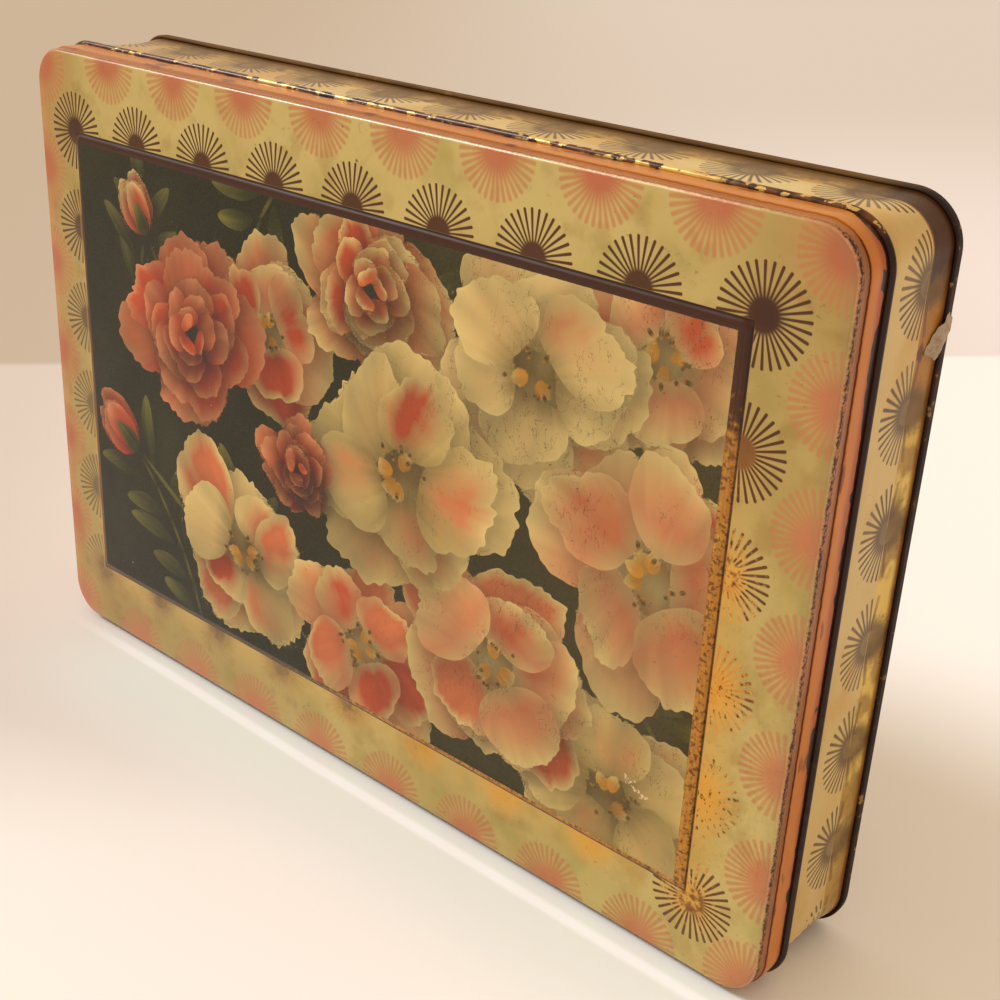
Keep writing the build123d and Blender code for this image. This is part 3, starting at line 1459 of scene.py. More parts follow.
    def _brown(self) -> Field:
        """Brown sunbursts on the frame's outer edge, faded or rubbed to gold.

        They fade down the left side and along the bottom. Low on the right and along the lower
        right they are rubbed through to the gold lacquer, most of all next to the raised panel.

        Returns:
            The share of dark flecks on the rubbed print.
        """
        brush = self.brush
        half_x, half_z = self.panel.length / 2, self.panel.width / 2
        x, z = self.across.size(), self.up.size()
        above = (z - half_z - (x - half_x)).positive()
        row = x.near_step(self.panel.length / 8).least(half_x)
        column = z.near_step(self.panel.width / 5, self.panel.width / 10).least(half_z)
        corner = row.rise(half_x - 1, half_x) * column.rise(half_z - 1, half_z) * self.across.rise(-1, 1)
        centre_x = (row - half_x) * above + half_x + corner * 1.8
        centre_z = column.toward(half_z, above) + corner * 1.4
        disc, rays, radius = brush.burst(x - centre_x, z - centre_z, self.BROWN)
        brush.lay(Tone.GILT, (self.low * self.near * 0.25).most(self.near * self.rub * 0.4))
        brush.lay(Tone.GILT, radius.rise(11, 3) * self.rub.most(self.glow) * 0.8)
        smudge = radius.rise(11, 0) * self.low * self.across.rise(60, -20)
        brush.lay(Tone.UMBER, smudge * (0.75 - self.ragged))
        faded = (self.left * (self.up.rise(74, -40) * 0.65 + 0.02)).most(self.low)
        share = (disc * (1.0 - self.low * 0.6)).most(rays * (1.0 - self.low * 0.88)) * (1.0 - faded * 0.35)
        weak = self.side * disc.most(self.up.rise(60, 0) * 0.7) * self.up.rise(68, 40) * 0.9 + 0.3
        ink = brush.mix(brush.mix(Tone.BROWN, Tone.UMBER, weak), Tone.KHAKI, faded)
        strip = self.up.rise(10, -70) * self.up.rise(-70, -64) * 0.5
        ink = brush.mix(ink, Tone.BRASS, self.side * strip.most(disc * self.up.rise(60, 40) * 0.3))
        ink = brush.mix(ink, self.gilt, self.gold)
        brush.lay(ink, share * (1.0 - self.gold * 0.35) * self.outside)
        tail = radius.rise(7, 2) * x.rise(half_x - 3, half_x) * self.up.rise(half_z - 3, half_z)
        brush.lay(Tone.BROWN, tail * 0.8)
        fleck = brush.noise(1.1, 3, (1, 1, 0.7)).rise(0.58, 0.64) * (disc.most(rays) * 0.8 + 0.1)
        return fleck * self.rub * self.outside * 0.85

    def _frame_band(self) -> Field:
        """Brown frame on the panel's slope, rubbed to brass on the right and the lower right.

        Returns:
            Where its metal is bare.
        """
        brush = self.brush
        band = brush.mix(Tone.BROWN, Tone.STEP, brush.noise(9, 2).rise(0.5, 0.8) * 0.4)
        band = brush.mix(band, Tone.BAND, self.left * self.up.rise(40, -30) * 0.4)
        band = brush.mix(band, Tone.KHAKI, self.low * self.across.rise(60, 0) * 0.5)
        worn = self.side * self.up.rise(79, 8) + self.low * self.across.rise(-70, 40) * 0.68
        middle = (self.inside + 1.8).size().rise(2.05, 1.5)
        bare = (worn * 1.5 + self.ragged * 1.3 - 0.35).rise(0.0, 0.5) * middle
        band = brush.mix(band, Tone.UMBER, worn * 0.8)
        brass = brush.mix(Tone.BRASS, self.gilt, brush.noise(1.6, 4).rise(0.4, 0.7) * 0.8)
        band = brush.mix(band, brass, bare * 0.85)
        band = brush.mix(band, Tone.RUST, brush.noise(1.1, 5).rise(0.5, 0.62) * bare * 0.65)
        band = brush.mix(band, Tone.RUST, (self.inside + 0.35).size().rise(0.4, 0.1) * 0.8)
        brush.lay(band, 1.0 - self.outside)
        pale = (self.inside - 0.7).size().rise(0.45, 0.15) * self.left
        brush.lay(Tone.GILT, pale * self.up.rise(66, 50) * 0.3)
        return bare * (1.0 - self.outside)

    def _picture(self) -> None:
        """Floral picture, crackled and scraped: two colours and their edge's distance at each point."""
        brush = self.brush
        left, right, low, high = self.MARGINS
        beyond_x = (self.across - (left - right) / 2).size() - (self.panel.length - left - right) / 2
        beyond_z = (self.up - (low - high) / 2).size() - (self.panel.width - low - high) / 2
        beyond = beyond_x.most(beyond_z) + (brush.noise(1.5, 2) - 0.5) * 0.25
        edge = brush.attribute("petal_edge", False).rise(-0.12, 0.12)
        under, over = brush.attribute("petal_under", True), brush.attribute("petal_over", True)
        flowers = brush.mix(under, over, edge)
        grain = brush.noise(0.6, 2).rise(0.2, 0.8) * 0.05 + self.across.rise(-40, 120) * 0.08
        flowers = brush.mix(flowers, Tone.CREAM_DEEP, grain)
        crackle = (brush.noise(2.6, 4, (1, 1, 0.5)) - 0.5).size().rise(0.009, 0.0)
        crackle = crackle * brush.noise(16, 2).rise(0.46, 0.56)
        flowers = brush.mix(flowers, Tone.RUST, crackle * self.across.rise(-20, 60) * 0.7)
        off_x, off_z = self.across - self.SCRAPE[0], self.up - self.SCRAPE[1]
        near = (off_x * 0.5 + off_z * 0.87).size().rise(2.6, 0.0)
        near = near * (off_x * 0.87 - off_z * 0.5).size().rise(8, 2)
        torn = (near * 0.8 + brush.noise(1.4, 5) * 3.0 - 2.15).rise(0.0, 0.3)
        # the same pale colour shows a scrape through the picture's print
        flowers = brush.mix(flowers, Tone.SHINE, torn * 0.6)
        brush.lay(flowers, beyond.rise(0.12, -0.12))

    def _grime(self) -> None:
        """Small dark specks, smears and fine scratches all over the face."""
        brush = self.brush
        patch = brush.noise(30, 2).rise(0.48, 0.66)
        brush.lay(Tone.RUST, brush.specks(5, -0.3, 0.09) * patch * 0.75)
        smear = brush.noise(1.6, 5, (1, 1, 1.6)).rise(0.62, 0.72) * brush.noise(14, 2).rise(0.55, 0.68)
        brush.lay(Tone.RUST, smear * 0.35)


class EdgePrint:
    """Colours down the lid's edge, with painted shade and a painted highlight, laid part by part.

    Attributes:
        down: Distance along the lid's section from the start of the edge bend.
        right: 1 on the right short side.
        top: 1 on the upper long side.
        ragged: Fine noise of about 0.
        wave: Broad noise of about 0.
    """

    def __init__(self, brush: Brush, frame: TinFrame, marks: Sequence[float]) -> None:
        """Works out the places.

        Args:
            brush: The material being built.
            frame: Where the tin stands.
            marks: Ends of the edge bend, the band, the step and the skirt along the section.
        """
        self.brush = brush
        self.bend, self.band, self.step, self.skirt = marks
        _, self.down = brush.chart()
        self.right = brush.x.rise(frame.right - 14, frame.right - 3)
        self.top = brush.z.rise(frame.top - 4, frame.top)
        self.ragged = brush.noise(2.2, 3) - 0.5
        self.wave = brush.noise(13, 2, (0.5, 1, 0.5)) - 0.5

    def lay(self) -> Field:
        """Lays all the parts in order.

        Returns:
            Where the rolled rim has flaked.
        """
        self._band()
        self._skirt()
        return self._curl()

    def polish(self) -> Field:
        """1 on the smooth edge bend, else 0."""
        return (self.down - self.bend * 0.5).size().rise(1.4, 0.3)

    def _band(self) -> None:
        """Rosy band under a polished bend with a painted highlight along it, grey painted shade on the face
        just before it at the right, and dark chips along its upper edge.
        """
        brush, bend = self.brush, self.bend
        # painted shade: grey on the face where it curves down into the edge bend, on the right side
        brush.lay(Tone.GREY, self.right * self.down.rise(-3.6, -0.4) * 0.15)
        strip = brush.mix(Tone.BAND, Tone.ROSE, self.wave.rise(-0.1, 0.15) * 0.35)
        strip = brush.mix(strip, Tone.ORANGE, self.top * 0.3)
        brush.lay(strip, self.down.rise(bend * 0.2, bend * 0.9))
        flecks = brush.noise(0.7, 3, (1, 1, 0.8)).rise(0.45, 0.53)
        # painted highlight: a pale line along the polished edge bend, strongest on the upper side near x =
        # 66 mm and faint on the right side
        shine = (self.down + self.ragged * 0.25 - bend * 0.4).size().rise(0.42, 0.12)
        shine = shine * (1.0 - flecks * 0.35)
        lit = self.top * (brush.x - 66).size().rise(70, 30) * 0.6 + self.top * 0.15
        brush.lay(Tone.SHINE, shine * lit.most(self.right * 0.25))
        chain = (self.down + self.ragged * 0.9 - bend * 1.0).size().rise(0.95, 0.35)
        brush.lay(Tone.RUST, chain * flecks * (self.right * 0.9).most(self.top * 0.25))

    def _skirt(self) -> None:
        """Orange skirt, with painted shade that turns it redder towards the rim, under a dark line on the
        step.
        """
        brush, band, skirt = self.brush, self.band, self.skirt
        calm = 1.0 - self.top.most(self.right * 0.7) * 0.7
        orange = brush.mix(Tone.ORANGE, Tone.ORANGE_ROSE, self.wave.rise(-0.02, 0.1) * calm)
        orange = brush.mix(orange, Tone.GOLD, self.top * 0.55 + self.right * 0.15)
        # painted shade: the skirt reddens towards the rolled rim, where it turns into the neck, less on the
        # upper side
        red = (self.down + self.wave * 8).rise(skirt - 4, skirt - 1)
        orange = brush.mix(orange, Tone.ORANGE_RED, red * (1.0 - self.top * 0.8))
        orange = brush.mix(orange, Tone.STEP, brush.noise(5, 5, (0.3, 1, 0.3)).rise(0.6, 0.66) * 0.6)
        brush.lay(orange, self.down.rise(band + 0.1, band + 0.4))
        line = (self.down + self.ragged * 0.35 - (band + self.step) / 2).size().rise(0.34, 0.14)
        brush.lay(Tone.STEP, line * (1.0 - self.top * 0.4))

    def _curl(self) -> Field:
        """Dark rolled rim, worn on top and flaked to pale gold in two lengths of it.

        Returns:
            Where it has flaked.
        """
        brush, skirt = self.brush, self.skirt
        lobes = brush.noise(6, 2, (0.6, 1, 0.5)).rise(0.46, 0.62)
        curl = self.down + self.ragged * 0.7 + lobes * 1.5 + self.right * 1.1
        worn = brush.noise(2.6, 4, (0.5, 1, 1)).rise(0.4, 0.6) * self.top
        ink = brush.mix(Tone.CURL, Tone.UMBER, worn * 0.8 + self.top * 0.2)
        brush.lay(ink, curl.rise(skirt + 0.1, skirt + 0.35))
        lengths = (brush.x - 74).size().rise(36, 28).most((brush.x + 33).size().rise(24, 17))
        chips = (brush.noise(5, 3, (0.6, 1, 1)) + self.ragged * 0.2).rise(0.5, 0.53) * (1.0 - worn * 0.3)
        small = brush.noise(1.6, 4, (0.5, 1, 1)).rise(0.57, 0.6) * self.top * 0.7
        flaked = self.down.rise(skirt + 0.2, skirt + 0.6) * (chips * lengths * self.top).most(small)
        brush.lay(Tone.GOLD_PALE, flaked * 0.9)
        return flaked


@dataclass(frozen=True)
class LidPrint:
    """Printed and lacquered outside of the lid.

    Attributes:
        frame: Where the tin stands.
        panel: Plan of the raised picture panel's foot.
        marks: Ends of the edge bend, the band, the step and the skirt along the lid's section.
        picture: Whether the floral picture's colours are on the mesh.
    """

    frame: TinFrame
    panel: Plan
    marks: tuple[float, ...]
    picture: bool

    def make(self) -> Material:
        """Cream ground, coral and brown sunbursts, brown frame, picture, edge colours with painted shade
        and a painted highlight, and wear.

        Returns:
            The material.
        """
        brush = Brush("lid_print_picture" if self.picture else "lid_print", Tone.CREAM)
        gold = FacePrint(brush, self.frame, self.panel).lay(self.picture)
        edge = EdgePrint(brush, self.frame, self.marks)
        flaked = edge.lay()
        rough = (brush.noise(11, 4) * 0.2 + 0.2) * (1.0 - edge.polish() * 0.2)
        return brush.lacquered(rough, (flaked * 0.3).most(gold * 0.42), 34)


@dataclass(frozen=True)
class WallPrint:
    """Printed and lacquered outside of the body wall.

    Attributes:
        frame: Where the tin stands.
        pitch: Distance between sunbursts round the tin.
        phase: Distance round the tin of one of them.
        foot: Length of the flared foot along the section.
        burst: Sunburst on the crease.
    """

    frame: TinFrame
    pitch: float = 30.2
    phase: float = 20.65
    foot: float = 7.9
    burst: Burst = Burst(5.8, 12.8, 0.48, 32, 0.14, 1.8)

    def make(self) -> Material:
        """Cream wall, olive sunbursts on the crease with a painted highlight along it, ochre foot with
        stains, and painted shade on the foot towards and against the seam.

        Returns:
            The material.
        """
        brush = Brush("wall_print", Tone.WALL)
        along, down = brush.chart()
        side, top = self.frame.right, self.frame.top
        right = brush.x.rise(side - 14, side - 4)
        brush.lay(Tone.WALL_OCHRE, brush.noise(24, 3, (1, 1.6, 1)).rise(0.42, 0.7))
        brush.lay(Tone.WALL_DULL, (right * 0.2).most(brush.x.rise(0, -130) * 0.85))
        # painted shade: the foot darkens from the crease towards the seam, except on the right side
        depth = (down + (brush.noise(3, 4) - 0.5) * 6).rise(1.0, 5.5) * (1.0 - right * 0.85)
        foot = brush.mix(Tone.FLARE, Tone.FLARE_LOW, depth)
        light = brush.noise(11, 3).rise(0.44, 0.58) * right * (brush.z - 95).size().rise(80, 45)
        foot = brush.mix(foot, Tone.FLARE_LIGHT, light * 0.8)
        stain = brush.noise(6, 4, (1, 1.5, 1)).rise(0.53, 0.66)
        foot = brush.mix(foot, Tone.FLARE_LOW, stain * (1.0 - right * 0.6))
        foot = brush.mix(foot, Tone.FLARE_RUST, right * down.rise(5.4, self.foot) * 0.8)
        foot = brush.mix(foot, Tone.FLARE_RUST, right * brush.z.rise(140, 165) * 0.7)
        brush.lay(foot, down.rise(-0.15, 0.25))
        glue = ((brush.z - 168.7).size() * 0.6 + (down - 1.6).size() * 0.8) + brush.noise(1.5, 4) * 2.4
        brush.lay(Tone.STEP, glue.rise(3.6, 1.9) * right * 0.8)
        across = along - along.near_step(self.pitch, self.phase)
        disc, rays, radius = brush.burst(across, down - down.most(0.0) * 0.35, self.burst)
        blot = brush.noise(1.8, 4).rise(0.42, 0.56) * 0.6 + 0.4
        ragged = (radius.rise(12, 2) * 0.9 + brush.noise(1.2, 5) * 1.6 - 1.1).rise(0.0, 0.6)
        smear = (radius.rise(13, 3) * blot * (1.0 - right) + ragged * right * 0.8) * down.rise(-3, 1)
        fade = brush.noise(8, 3)
        brush.lay(Tone.WALL_RAY, rays * down.rise(4.0, -0.6) * (fade * 0.5 + 0.62))
        brush.lay(Tone.WALL_INK, (disc * (fade * 0.6 + 0.5)).most(smear * 0.85))
        corner = brush.x.rise(side - 27, side - 3) * brush.z.rise(top - 25, top - 3)
        corner = (corner * 1.4 + (brush.noise(6, 4) - 0.5) * 1.4).rise(0.2, 0.75)
        brush.lay(Tone.FLARE_DARK, corner * down.rise(0.2, 0.9) * 0.92)
        # painted highlight: a broken pale line along the crease between wall and foot
        crease = down.size().rise(0.28, 0.08) * brush.noise(5, 3).rise(0.4, 0.6)
        brush.lay(Tone.GOLD_PALE, crease * 0.3)
        # painted shade: a dark band at the foot's lower edge, in the corner against the seam, weaker where
        # lit on the right and upper sides
        low = (down + (brush.noise(4, 3) - 0.5) * 2).rise(self.foot - 2.2, self.foot - 0.6)
        lit = right.most(brush.z.rise(top - 6, top - 2))
        brush.lay(Tone.FLARE_DARK, low * (1.0 - lit * 0.65) * 0.85)
        brush.lay(Tone.RUST, brush.specks(6, -0.3, 0.08) * 0.7)
        return brush.lacquered(brush.noise(9, 4) * 0.2 + 0.2, 0.0, 30)


@dataclass(frozen=True)
class SeamEnamel:
    """Dark enamel on the double seam, lighter on its upper side as a painted sheen, and gold-brown lacquer
    on the outside of the base.

    Attributes:
        inner: Chart value where the seam ends and the base begins.
    """

    inner: float

    def make(self) -> Material:
        """Lacquered base with scuffs, dark seam with rubbed spots, and a top side painted lighter
        olive-brown as a sheen.

        Returns:
            The material.
        """
        brush = Brush("base_enamel", Tone.LACQUER)
        _, down = brush.chart()
        brush.lay(Tone.FLARE_DARK, brush.noise(20, 4).rise(0.45, 0.8) * 0.5)
        brush.lay(Tone.TIN, brush.noise(5, 5, (0.3, 1, 1.2)).rise(0.62, 0.7) * 0.25)
        seam = brush.mix(Tone.SEAM, Tone.FLARE_DARK, brush.noise(6, 3).rise(0.45, 0.7))
        seam = brush.mix(seam, Tone.LACQUER, brush.noise(3, 4).rise(0.62, 0.7) * 0.7)
        # painted sheen: the seam's upper side is laid lighter olive-brown, with dark streaks, where light
        # falls from above
        above = brush.z.rise(196, 201) * brush.x.rise(142, 122)
        seam = brush.mix(seam, Tone.FLARE_LOW, above * 0.75)
        streaks = brush.noise(2.4, 5, (0.1, 1, 1)).rise(0.5, 0.62)
        seam = brush.mix(seam, Tone.FLARE_DARK, above * streaks * 0.45)
        on_seam = down.rise(self.inner - 0.4, self.inner + 0.2)
        brush.lay(seam, on_seam)
        brush.lay(Tone.RUST, brush.specks(7, -0.3, 0.12) * 0.8)
        rough = brush.noise(8, 4) * 0.22 + on_seam * (above * 0.2 + 0.3) + 0.2
        return brush.surface(rough, (1.0 - on_seam) * 0.55, relief=brush.relief(brush.noise(28, 3), 0.3))


@dataclass(frozen=True)
class OldPaper:
    """Grey-buff scrap of dried paper tape."""

    def make(self) -> Material:
        """Matt fibre with stains.

        Returns:
            The material.
        """
        brush = Brush("old_paper", Tone.PAPER)
        fibre = brush.noise(0.7, 4)
        brush.lay(Tone.BAND, brush.noise(1.6, 4).rise(0.45, 0.7) * 0.4)
        return brush.surface(fibre * 0.1 + 0.82, relief=brush.relief(fibre + brush.noise(1.8, 4), 0.5))


# ---- the tin ----


@dataclass(frozen=True)
class Sheet:
    """Tinplate, and the sizes that its pieces share.

    Attributes:
        thick: Thickness.
        lid_clearance: Lid to body, all round and above the mouth.
        seam_play: Between two layers folded into the seam.
        depth: Lid face to base rim.
        radius: Corner radius of the lid's band.
        curl: Diameter of the lid's rolled rim.
        seam_height: Base rim to the top of the seam.
        hook_shortfall: From the tip of each hook to the fold that it points at.
    """

    thick: float = 0.30
    lid_clearance: float = 0.30
    seam_play: float = 0.06
    depth: float = 44.0
    radius: float = 11.5
    curl: float = 2.0
    seam_height: float = 2.96
    hook_shortfall: float = 0.2

    @property
    def layer(self) -> float:
        """Pitch of the layers folded into the seam."""
        return self.thick + self.seam_play

    @property
    def low_fold(self) -> float:
        """Height of the centre of the folds at the seam's foot."""
        return 2 * self.layer + self.thick / 2

    @property
    def high_fold(self) -> float:
        """Height of the centre of the fold at the seam's top."""
        return self.seam_height - self.layer - self.thick / 2

    @property
    def curl_reach(self) -> float:
        """How far the rolled rim stands out from the band."""
        return self.curl - self.thick


@dataclass(frozen=True)
class Lid:
    """Printed lid: crowned face with a raised panel, band, step, skirt and rolled rim.

    Depths run from the face, bends are radii at the middle of the sheet, and angles are degrees.
    The face drops by its crown over the crown's width. The printed layer on the panel is inset
    from the slope's top, and has its own count of points along and up.
    """

    sheet: Sheet
    frame: TinFrame
    crown: float = 0.22
    crown_width: float = 3.6
    edge_bend: float = 1.0
    band_depth: float = 3.6
    step_out: float = 0.6
    step_angle: float = 45.0
    step_bend: float = 0.4
    neck_bend: float = 0.75
    curl_depth: float = 12.1
    curl_end: float = 95.0
    panel: Plan = Plan(252.0, 153.3, 3.0, (-1.6, -0.5))
    panel_rise: float = 0.7
    panel_bevel: float = 1.6
    print_layer: float = 0.04
    print_inset: float = 0.6
    print_points: tuple[int, int] = (401, 239)

    @property
    def plan(self) -> Plan:
        """Plan of the band."""
        return Plan(self.frame.length, self.frame.width, self.sheet.radius)

    def rim(self) -> Strip:
        """Section from the crowned edge of the face to the end of the rolled rim.

        Returns:
            The section.
        """
        thick, curl_radius = self.sheet.thick, (self.sheet.curl - self.sheet.thick) / 2
        slope = np.arctan(2 * self.crown / self.crown_width)
        lean = np.radians(self.step_angle)
        slope_run = (self.step_out - 2 * self.step_bend * (1 - np.cos(lean))) / np.sin(lean)
        step_drop = 2 * self.step_bend * np.sin(lean) + slope_run * np.cos(lean)
        neck_turn = np.arccos(1 - self.step_out / (self.neck_bend + curl_radius))
        neck_drop = (self.neck_bend + curl_radius) * np.sin(neck_turn)
        return Strip.bent(
            (-thick / 2 - self.edge_bend * (1 - np.sin(slope)), self.sheet.depth - thick / 2 - self.crown),
            -np.degrees(slope),
            thick,
            (
                (-90 + float(np.degrees(slope)), self.edge_bend),
                self.band_depth - self.crown - self.edge_bend * np.cos(slope) - thick / 2,
                (self.step_angle, self.step_bend),
                slope_run,
                (-self.step_angle, self.step_bend),
                self.curl_depth - self.band_depth - step_drop - neck_drop,
                (-float(np.degrees(neck_turn)), self.neck_bend),
                (180 + float(np.degrees(neck_turn)) + self.curl_end, curl_radius),
            ),
        )

    @property
    def marks(self) -> tuple[float, ...]:
        """Ends of the edge bend, the band, the step and the skirt, as distances along the section."""
        return tuple(float(mark) for mark in self.rim().marks[[0, 1, 4, 5]])

    def crowned(self, start: Array) -> Array:
        """Face from its flat part out to the edge bend: it drops as the square of the distance.

        Args:
            start: Offset and height of the first point of the edge bend on this side.

        Returns:
            Offsets and heights, from the inside outwards, without that point.
        """
        share = np.linspace(0, 1, 6)[:-1]
        offset = start[0] - self.crown_width * (1 - share)
        return np.column_stack((offset, start[1] + self.crown * (1 - share**2)))

    def build(self, print_finish: Material, plain: Material) -> Piece:
        """Makes the lid's shell; past the neck the sheet's inner face rolls outwards and is printed.

        Args:
            print_finish: Finish of the outside.
            plain: Finish of the inside.

        Returns:
            The piece.
        """
        rim, path = self.rim(), self.plan.path()
        shell = Shell("lid_shell", self.frame, (print_finish, plain))
        slope = pressed(self.panel, self.panel_bevel, self.panel_rise - self.print_layer)
        neck_end = rim.marks[6]
        for side, slot, lower in ((rim.left, Face.OUTER, 0.0), (rim.right, Face.INNER, self.sheet.thick)):
            crown = self.crowned(side[0])
            fall = np.linspace(-self.crown_width, 0, len(crown) + 1)[:-1]
            ring = path.carry(np.concatenate((crown, side)))
            down = np.concatenate((fall, rim.run))
            roll = int(np.searchsorted(down, neck_end)) if slot is Face.INNER else len(down) - 1
            shell.grid(ring[:, : roll + 1], path.run, down[: roll + 1], slot)
            if slot is Face.INNER:
                shell.grid(ring[:, roll:], path.run, down[roll:], Face.OUTER)
            rings = [(outline, self.sheet.depth - lower + rise) for outline, rise in slope]
            plate(shell, ring[:, 0], rings, slot, -self.crown_width)
        shell.edge(path, rim, -1, rim.run[-1], Face.OUTER)
        return shell.build()

    def build_picture(self, print_finish: Material) -> Piece:
        """Makes the printed layer on the panel: a thin closed sheet with a fine grid to paint on.

        Args:
            print_finish: Finish of the printed face.

        Returns:
            The piece.
        """
        half = np.array((self.panel.length, self.panel.width)) / 2 - (self.panel_bevel + self.print_inset)
        across, up = (
            middle + np.linspace(-reach, reach, count)
            for middle, reach, count in zip(self.panel.shift, half, self.print_points)
        )
        top = np.full(self.print_points, self.sheet.depth + self.panel_rise)
        face = np.stack((*np.meshgrid(across, up, indexing="ij"), top), -1)
        loop = border(face)
        below = loop - (0.0, 0.0, self.print_layer)
        shell = Shell("lid_picture", self.frame, (print_finish,))
        inner = np.full(len(up), -self.crown_width)
        shell.grid(face, across, inner, Face.OUTER, closed=False)
        shell.grid(np.stack((loop, below), 1), np.zeros(len(loop) + 1), inner[:2], Face.OUTER)
        shell.cap(below, Face.OUTER, -self.crown_width)
        return shell.build()


@dataclass(frozen=True)
class BodyWall:
    """Printed wall: hem, wall, crease, flared foot, seam hook and folded side seam.

    Heights run from the base rim, bends are radii at the middle of the sheet, and leans are
    degrees. The lock is the side seam's folded bar inside, a little way into the wall, and the
    line is its groove outside, whose slopes and widest reach count from the line and the middle.
    """

    sheet: Sheet
    frame: TinFrame
    hem_depth: float = 4.0
    hem_bend: float = 0.30
    crease_height: float = 10.7
    crease_bend: float = 0.4
    lean_top: float = 5.0
    lean_low: float = 10.5
    lock_width: float = 5.0
    lock_layers: int = 3
    lock_margin: float = 1.0
    lock_corner: float = 0.3
    lock_bite: float = 0.02
    line_width: float = 0.3
    line_depth: float = 0.12
    line_slope: float = 0.12
    line_reach: float = 1.2

    @property
    def middle(self) -> float:
        """Offset of the wall's middle line."""
        return -1.5 * self.sheet.thick - self.sheet.lid_clearance

    @property
    def hem_height(self) -> float:
        """Height of the centre of the hem's fold."""
        mouth = self.sheet.depth - self.sheet.thick - self.sheet.lid_clearance
        return mouth - self.hem_bend - self.sheet.thick / 2

    @property
    def foot_curve(self) -> float:
        """Radius at which the foot curves from its upper lean to its lower one.

        Returns:
            The foot's height less its two bends, over the difference of the leans' sines.
        """
        top, low = np.radians((self.lean_top, self.lean_low))
        bends = self.crease_bend * (np.sin(top) + np.sin(low))
        return float((self.crease_height - self.sheet.seam_height - bends) / (np.sin(low) - np.sin(top)))

    @property
    def foot_mid(self) -> float:
        """Offset of the foot's middle line where the seam takes it.

        Returns:
            The wall's offset and the spread of the curve and of the two bends.
        """
        top, low = np.cos(np.radians((self.lean_top, self.lean_low)))
        spread = self.foot_curve * (top - low) + self.crease_bend * (2 - top - low)
        return float(self.middle + spread)

    def section(self) -> Strip:
        """Section from the hem's inner edge to the tip of the hook in the seam.

        Returns:
            The section.
        """
        sheet = self.sheet
        return Strip.bent(
            (self.middle - 2 * self.hem_bend, self.hem_height - self.hem_depth),
            90,
            sheet.thick,
            (
                self.hem_depth,
                (-180, self.hem_bend),
                self.hem_height - self.crease_height,
                (self.lean_top, self.crease_bend),
                (self.lean_low - self.lean_top, self.foot_curve),
                (-self.lean_low, self.crease_bend),
                sheet.seam_height - sheet.low_fold,
                (180, sheet.layer),
                sheet.high_fold - sheet.hook_shortfall - sheet.low_fold,
            ),
        )

    def build(self, print_finish: Material, plain: Material) -> Piece:
        """Makes the wall, with the groove of its side seam pressed in and the fold inside.

        Args:
            print_finish: Finish of the printed face.
            plain: Finish of the bare face.

        Returns:
            The piece.
        """
        strip = self.section()
        half = self.line_width / 2
        slope = half + self.line_slope
        stops = (-self.line_reach, -slope, -half, half, slope, self.line_reach)
        path = Plan(self.frame.length, self.frame.width, self.sheet.radius, stops=stops).path()
        shell = Shell("body_wall_shell", self.frame, (print_finish, plain))
        down = strip.run - strip.marks[2]
        for side, slot in ((strip.left, Face.OUTER), (strip.right, Face.INNER)):
            ring = path.carry(side)
            if slot is Face.OUTER:
                outside = (down > -(self.hem_height - self.crease_height)) & (down < -0.2)
                groove = (ring[:, 0, 0] < 0) & (np.abs(ring[:, 0, 1]) < half + 0.01)
                ring[np.ix_(groove, outside, [0])] += self.line_depth
            shell.grid(ring, path.run, down, slot)
        for tip in (0, -1):
            shell.edge(path, strip, tip, down[tip], Face.INNER)
        self._lock(shell)
        return shell.build()

    def _lock(self, shell: Shell) -> None:
        """Folded side seam: a rounded flat bar up the inside of the left short side.

        Args:
            shell: The wall's shell.
        """
        low = self.crease_height + self.lock_margin
        high = self.hem_height - self.hem_depth - self.lock_margin
        depth = self.lock_layers * self.sheet.thick
        inside = self.frame.length / 2 + self.middle - self.sheet.thick / 2
        middle = -inside + depth / 2 - self.lock_bite
        outline = Plan(depth, self.lock_width, self.lock_corner, (middle, 0.0)).outline()
        heights = np.linspace(low, high, 8)
        points = np.stack([np.column_stack((outline, np.full(len(outline), at))) for at in heights], 1)
        shell.grid(points, np.zeros(len(outline) + 1), heights, Face.INNER)
        for end in (0, -1):
            shell.cap(points[:, end], Face.INNER)


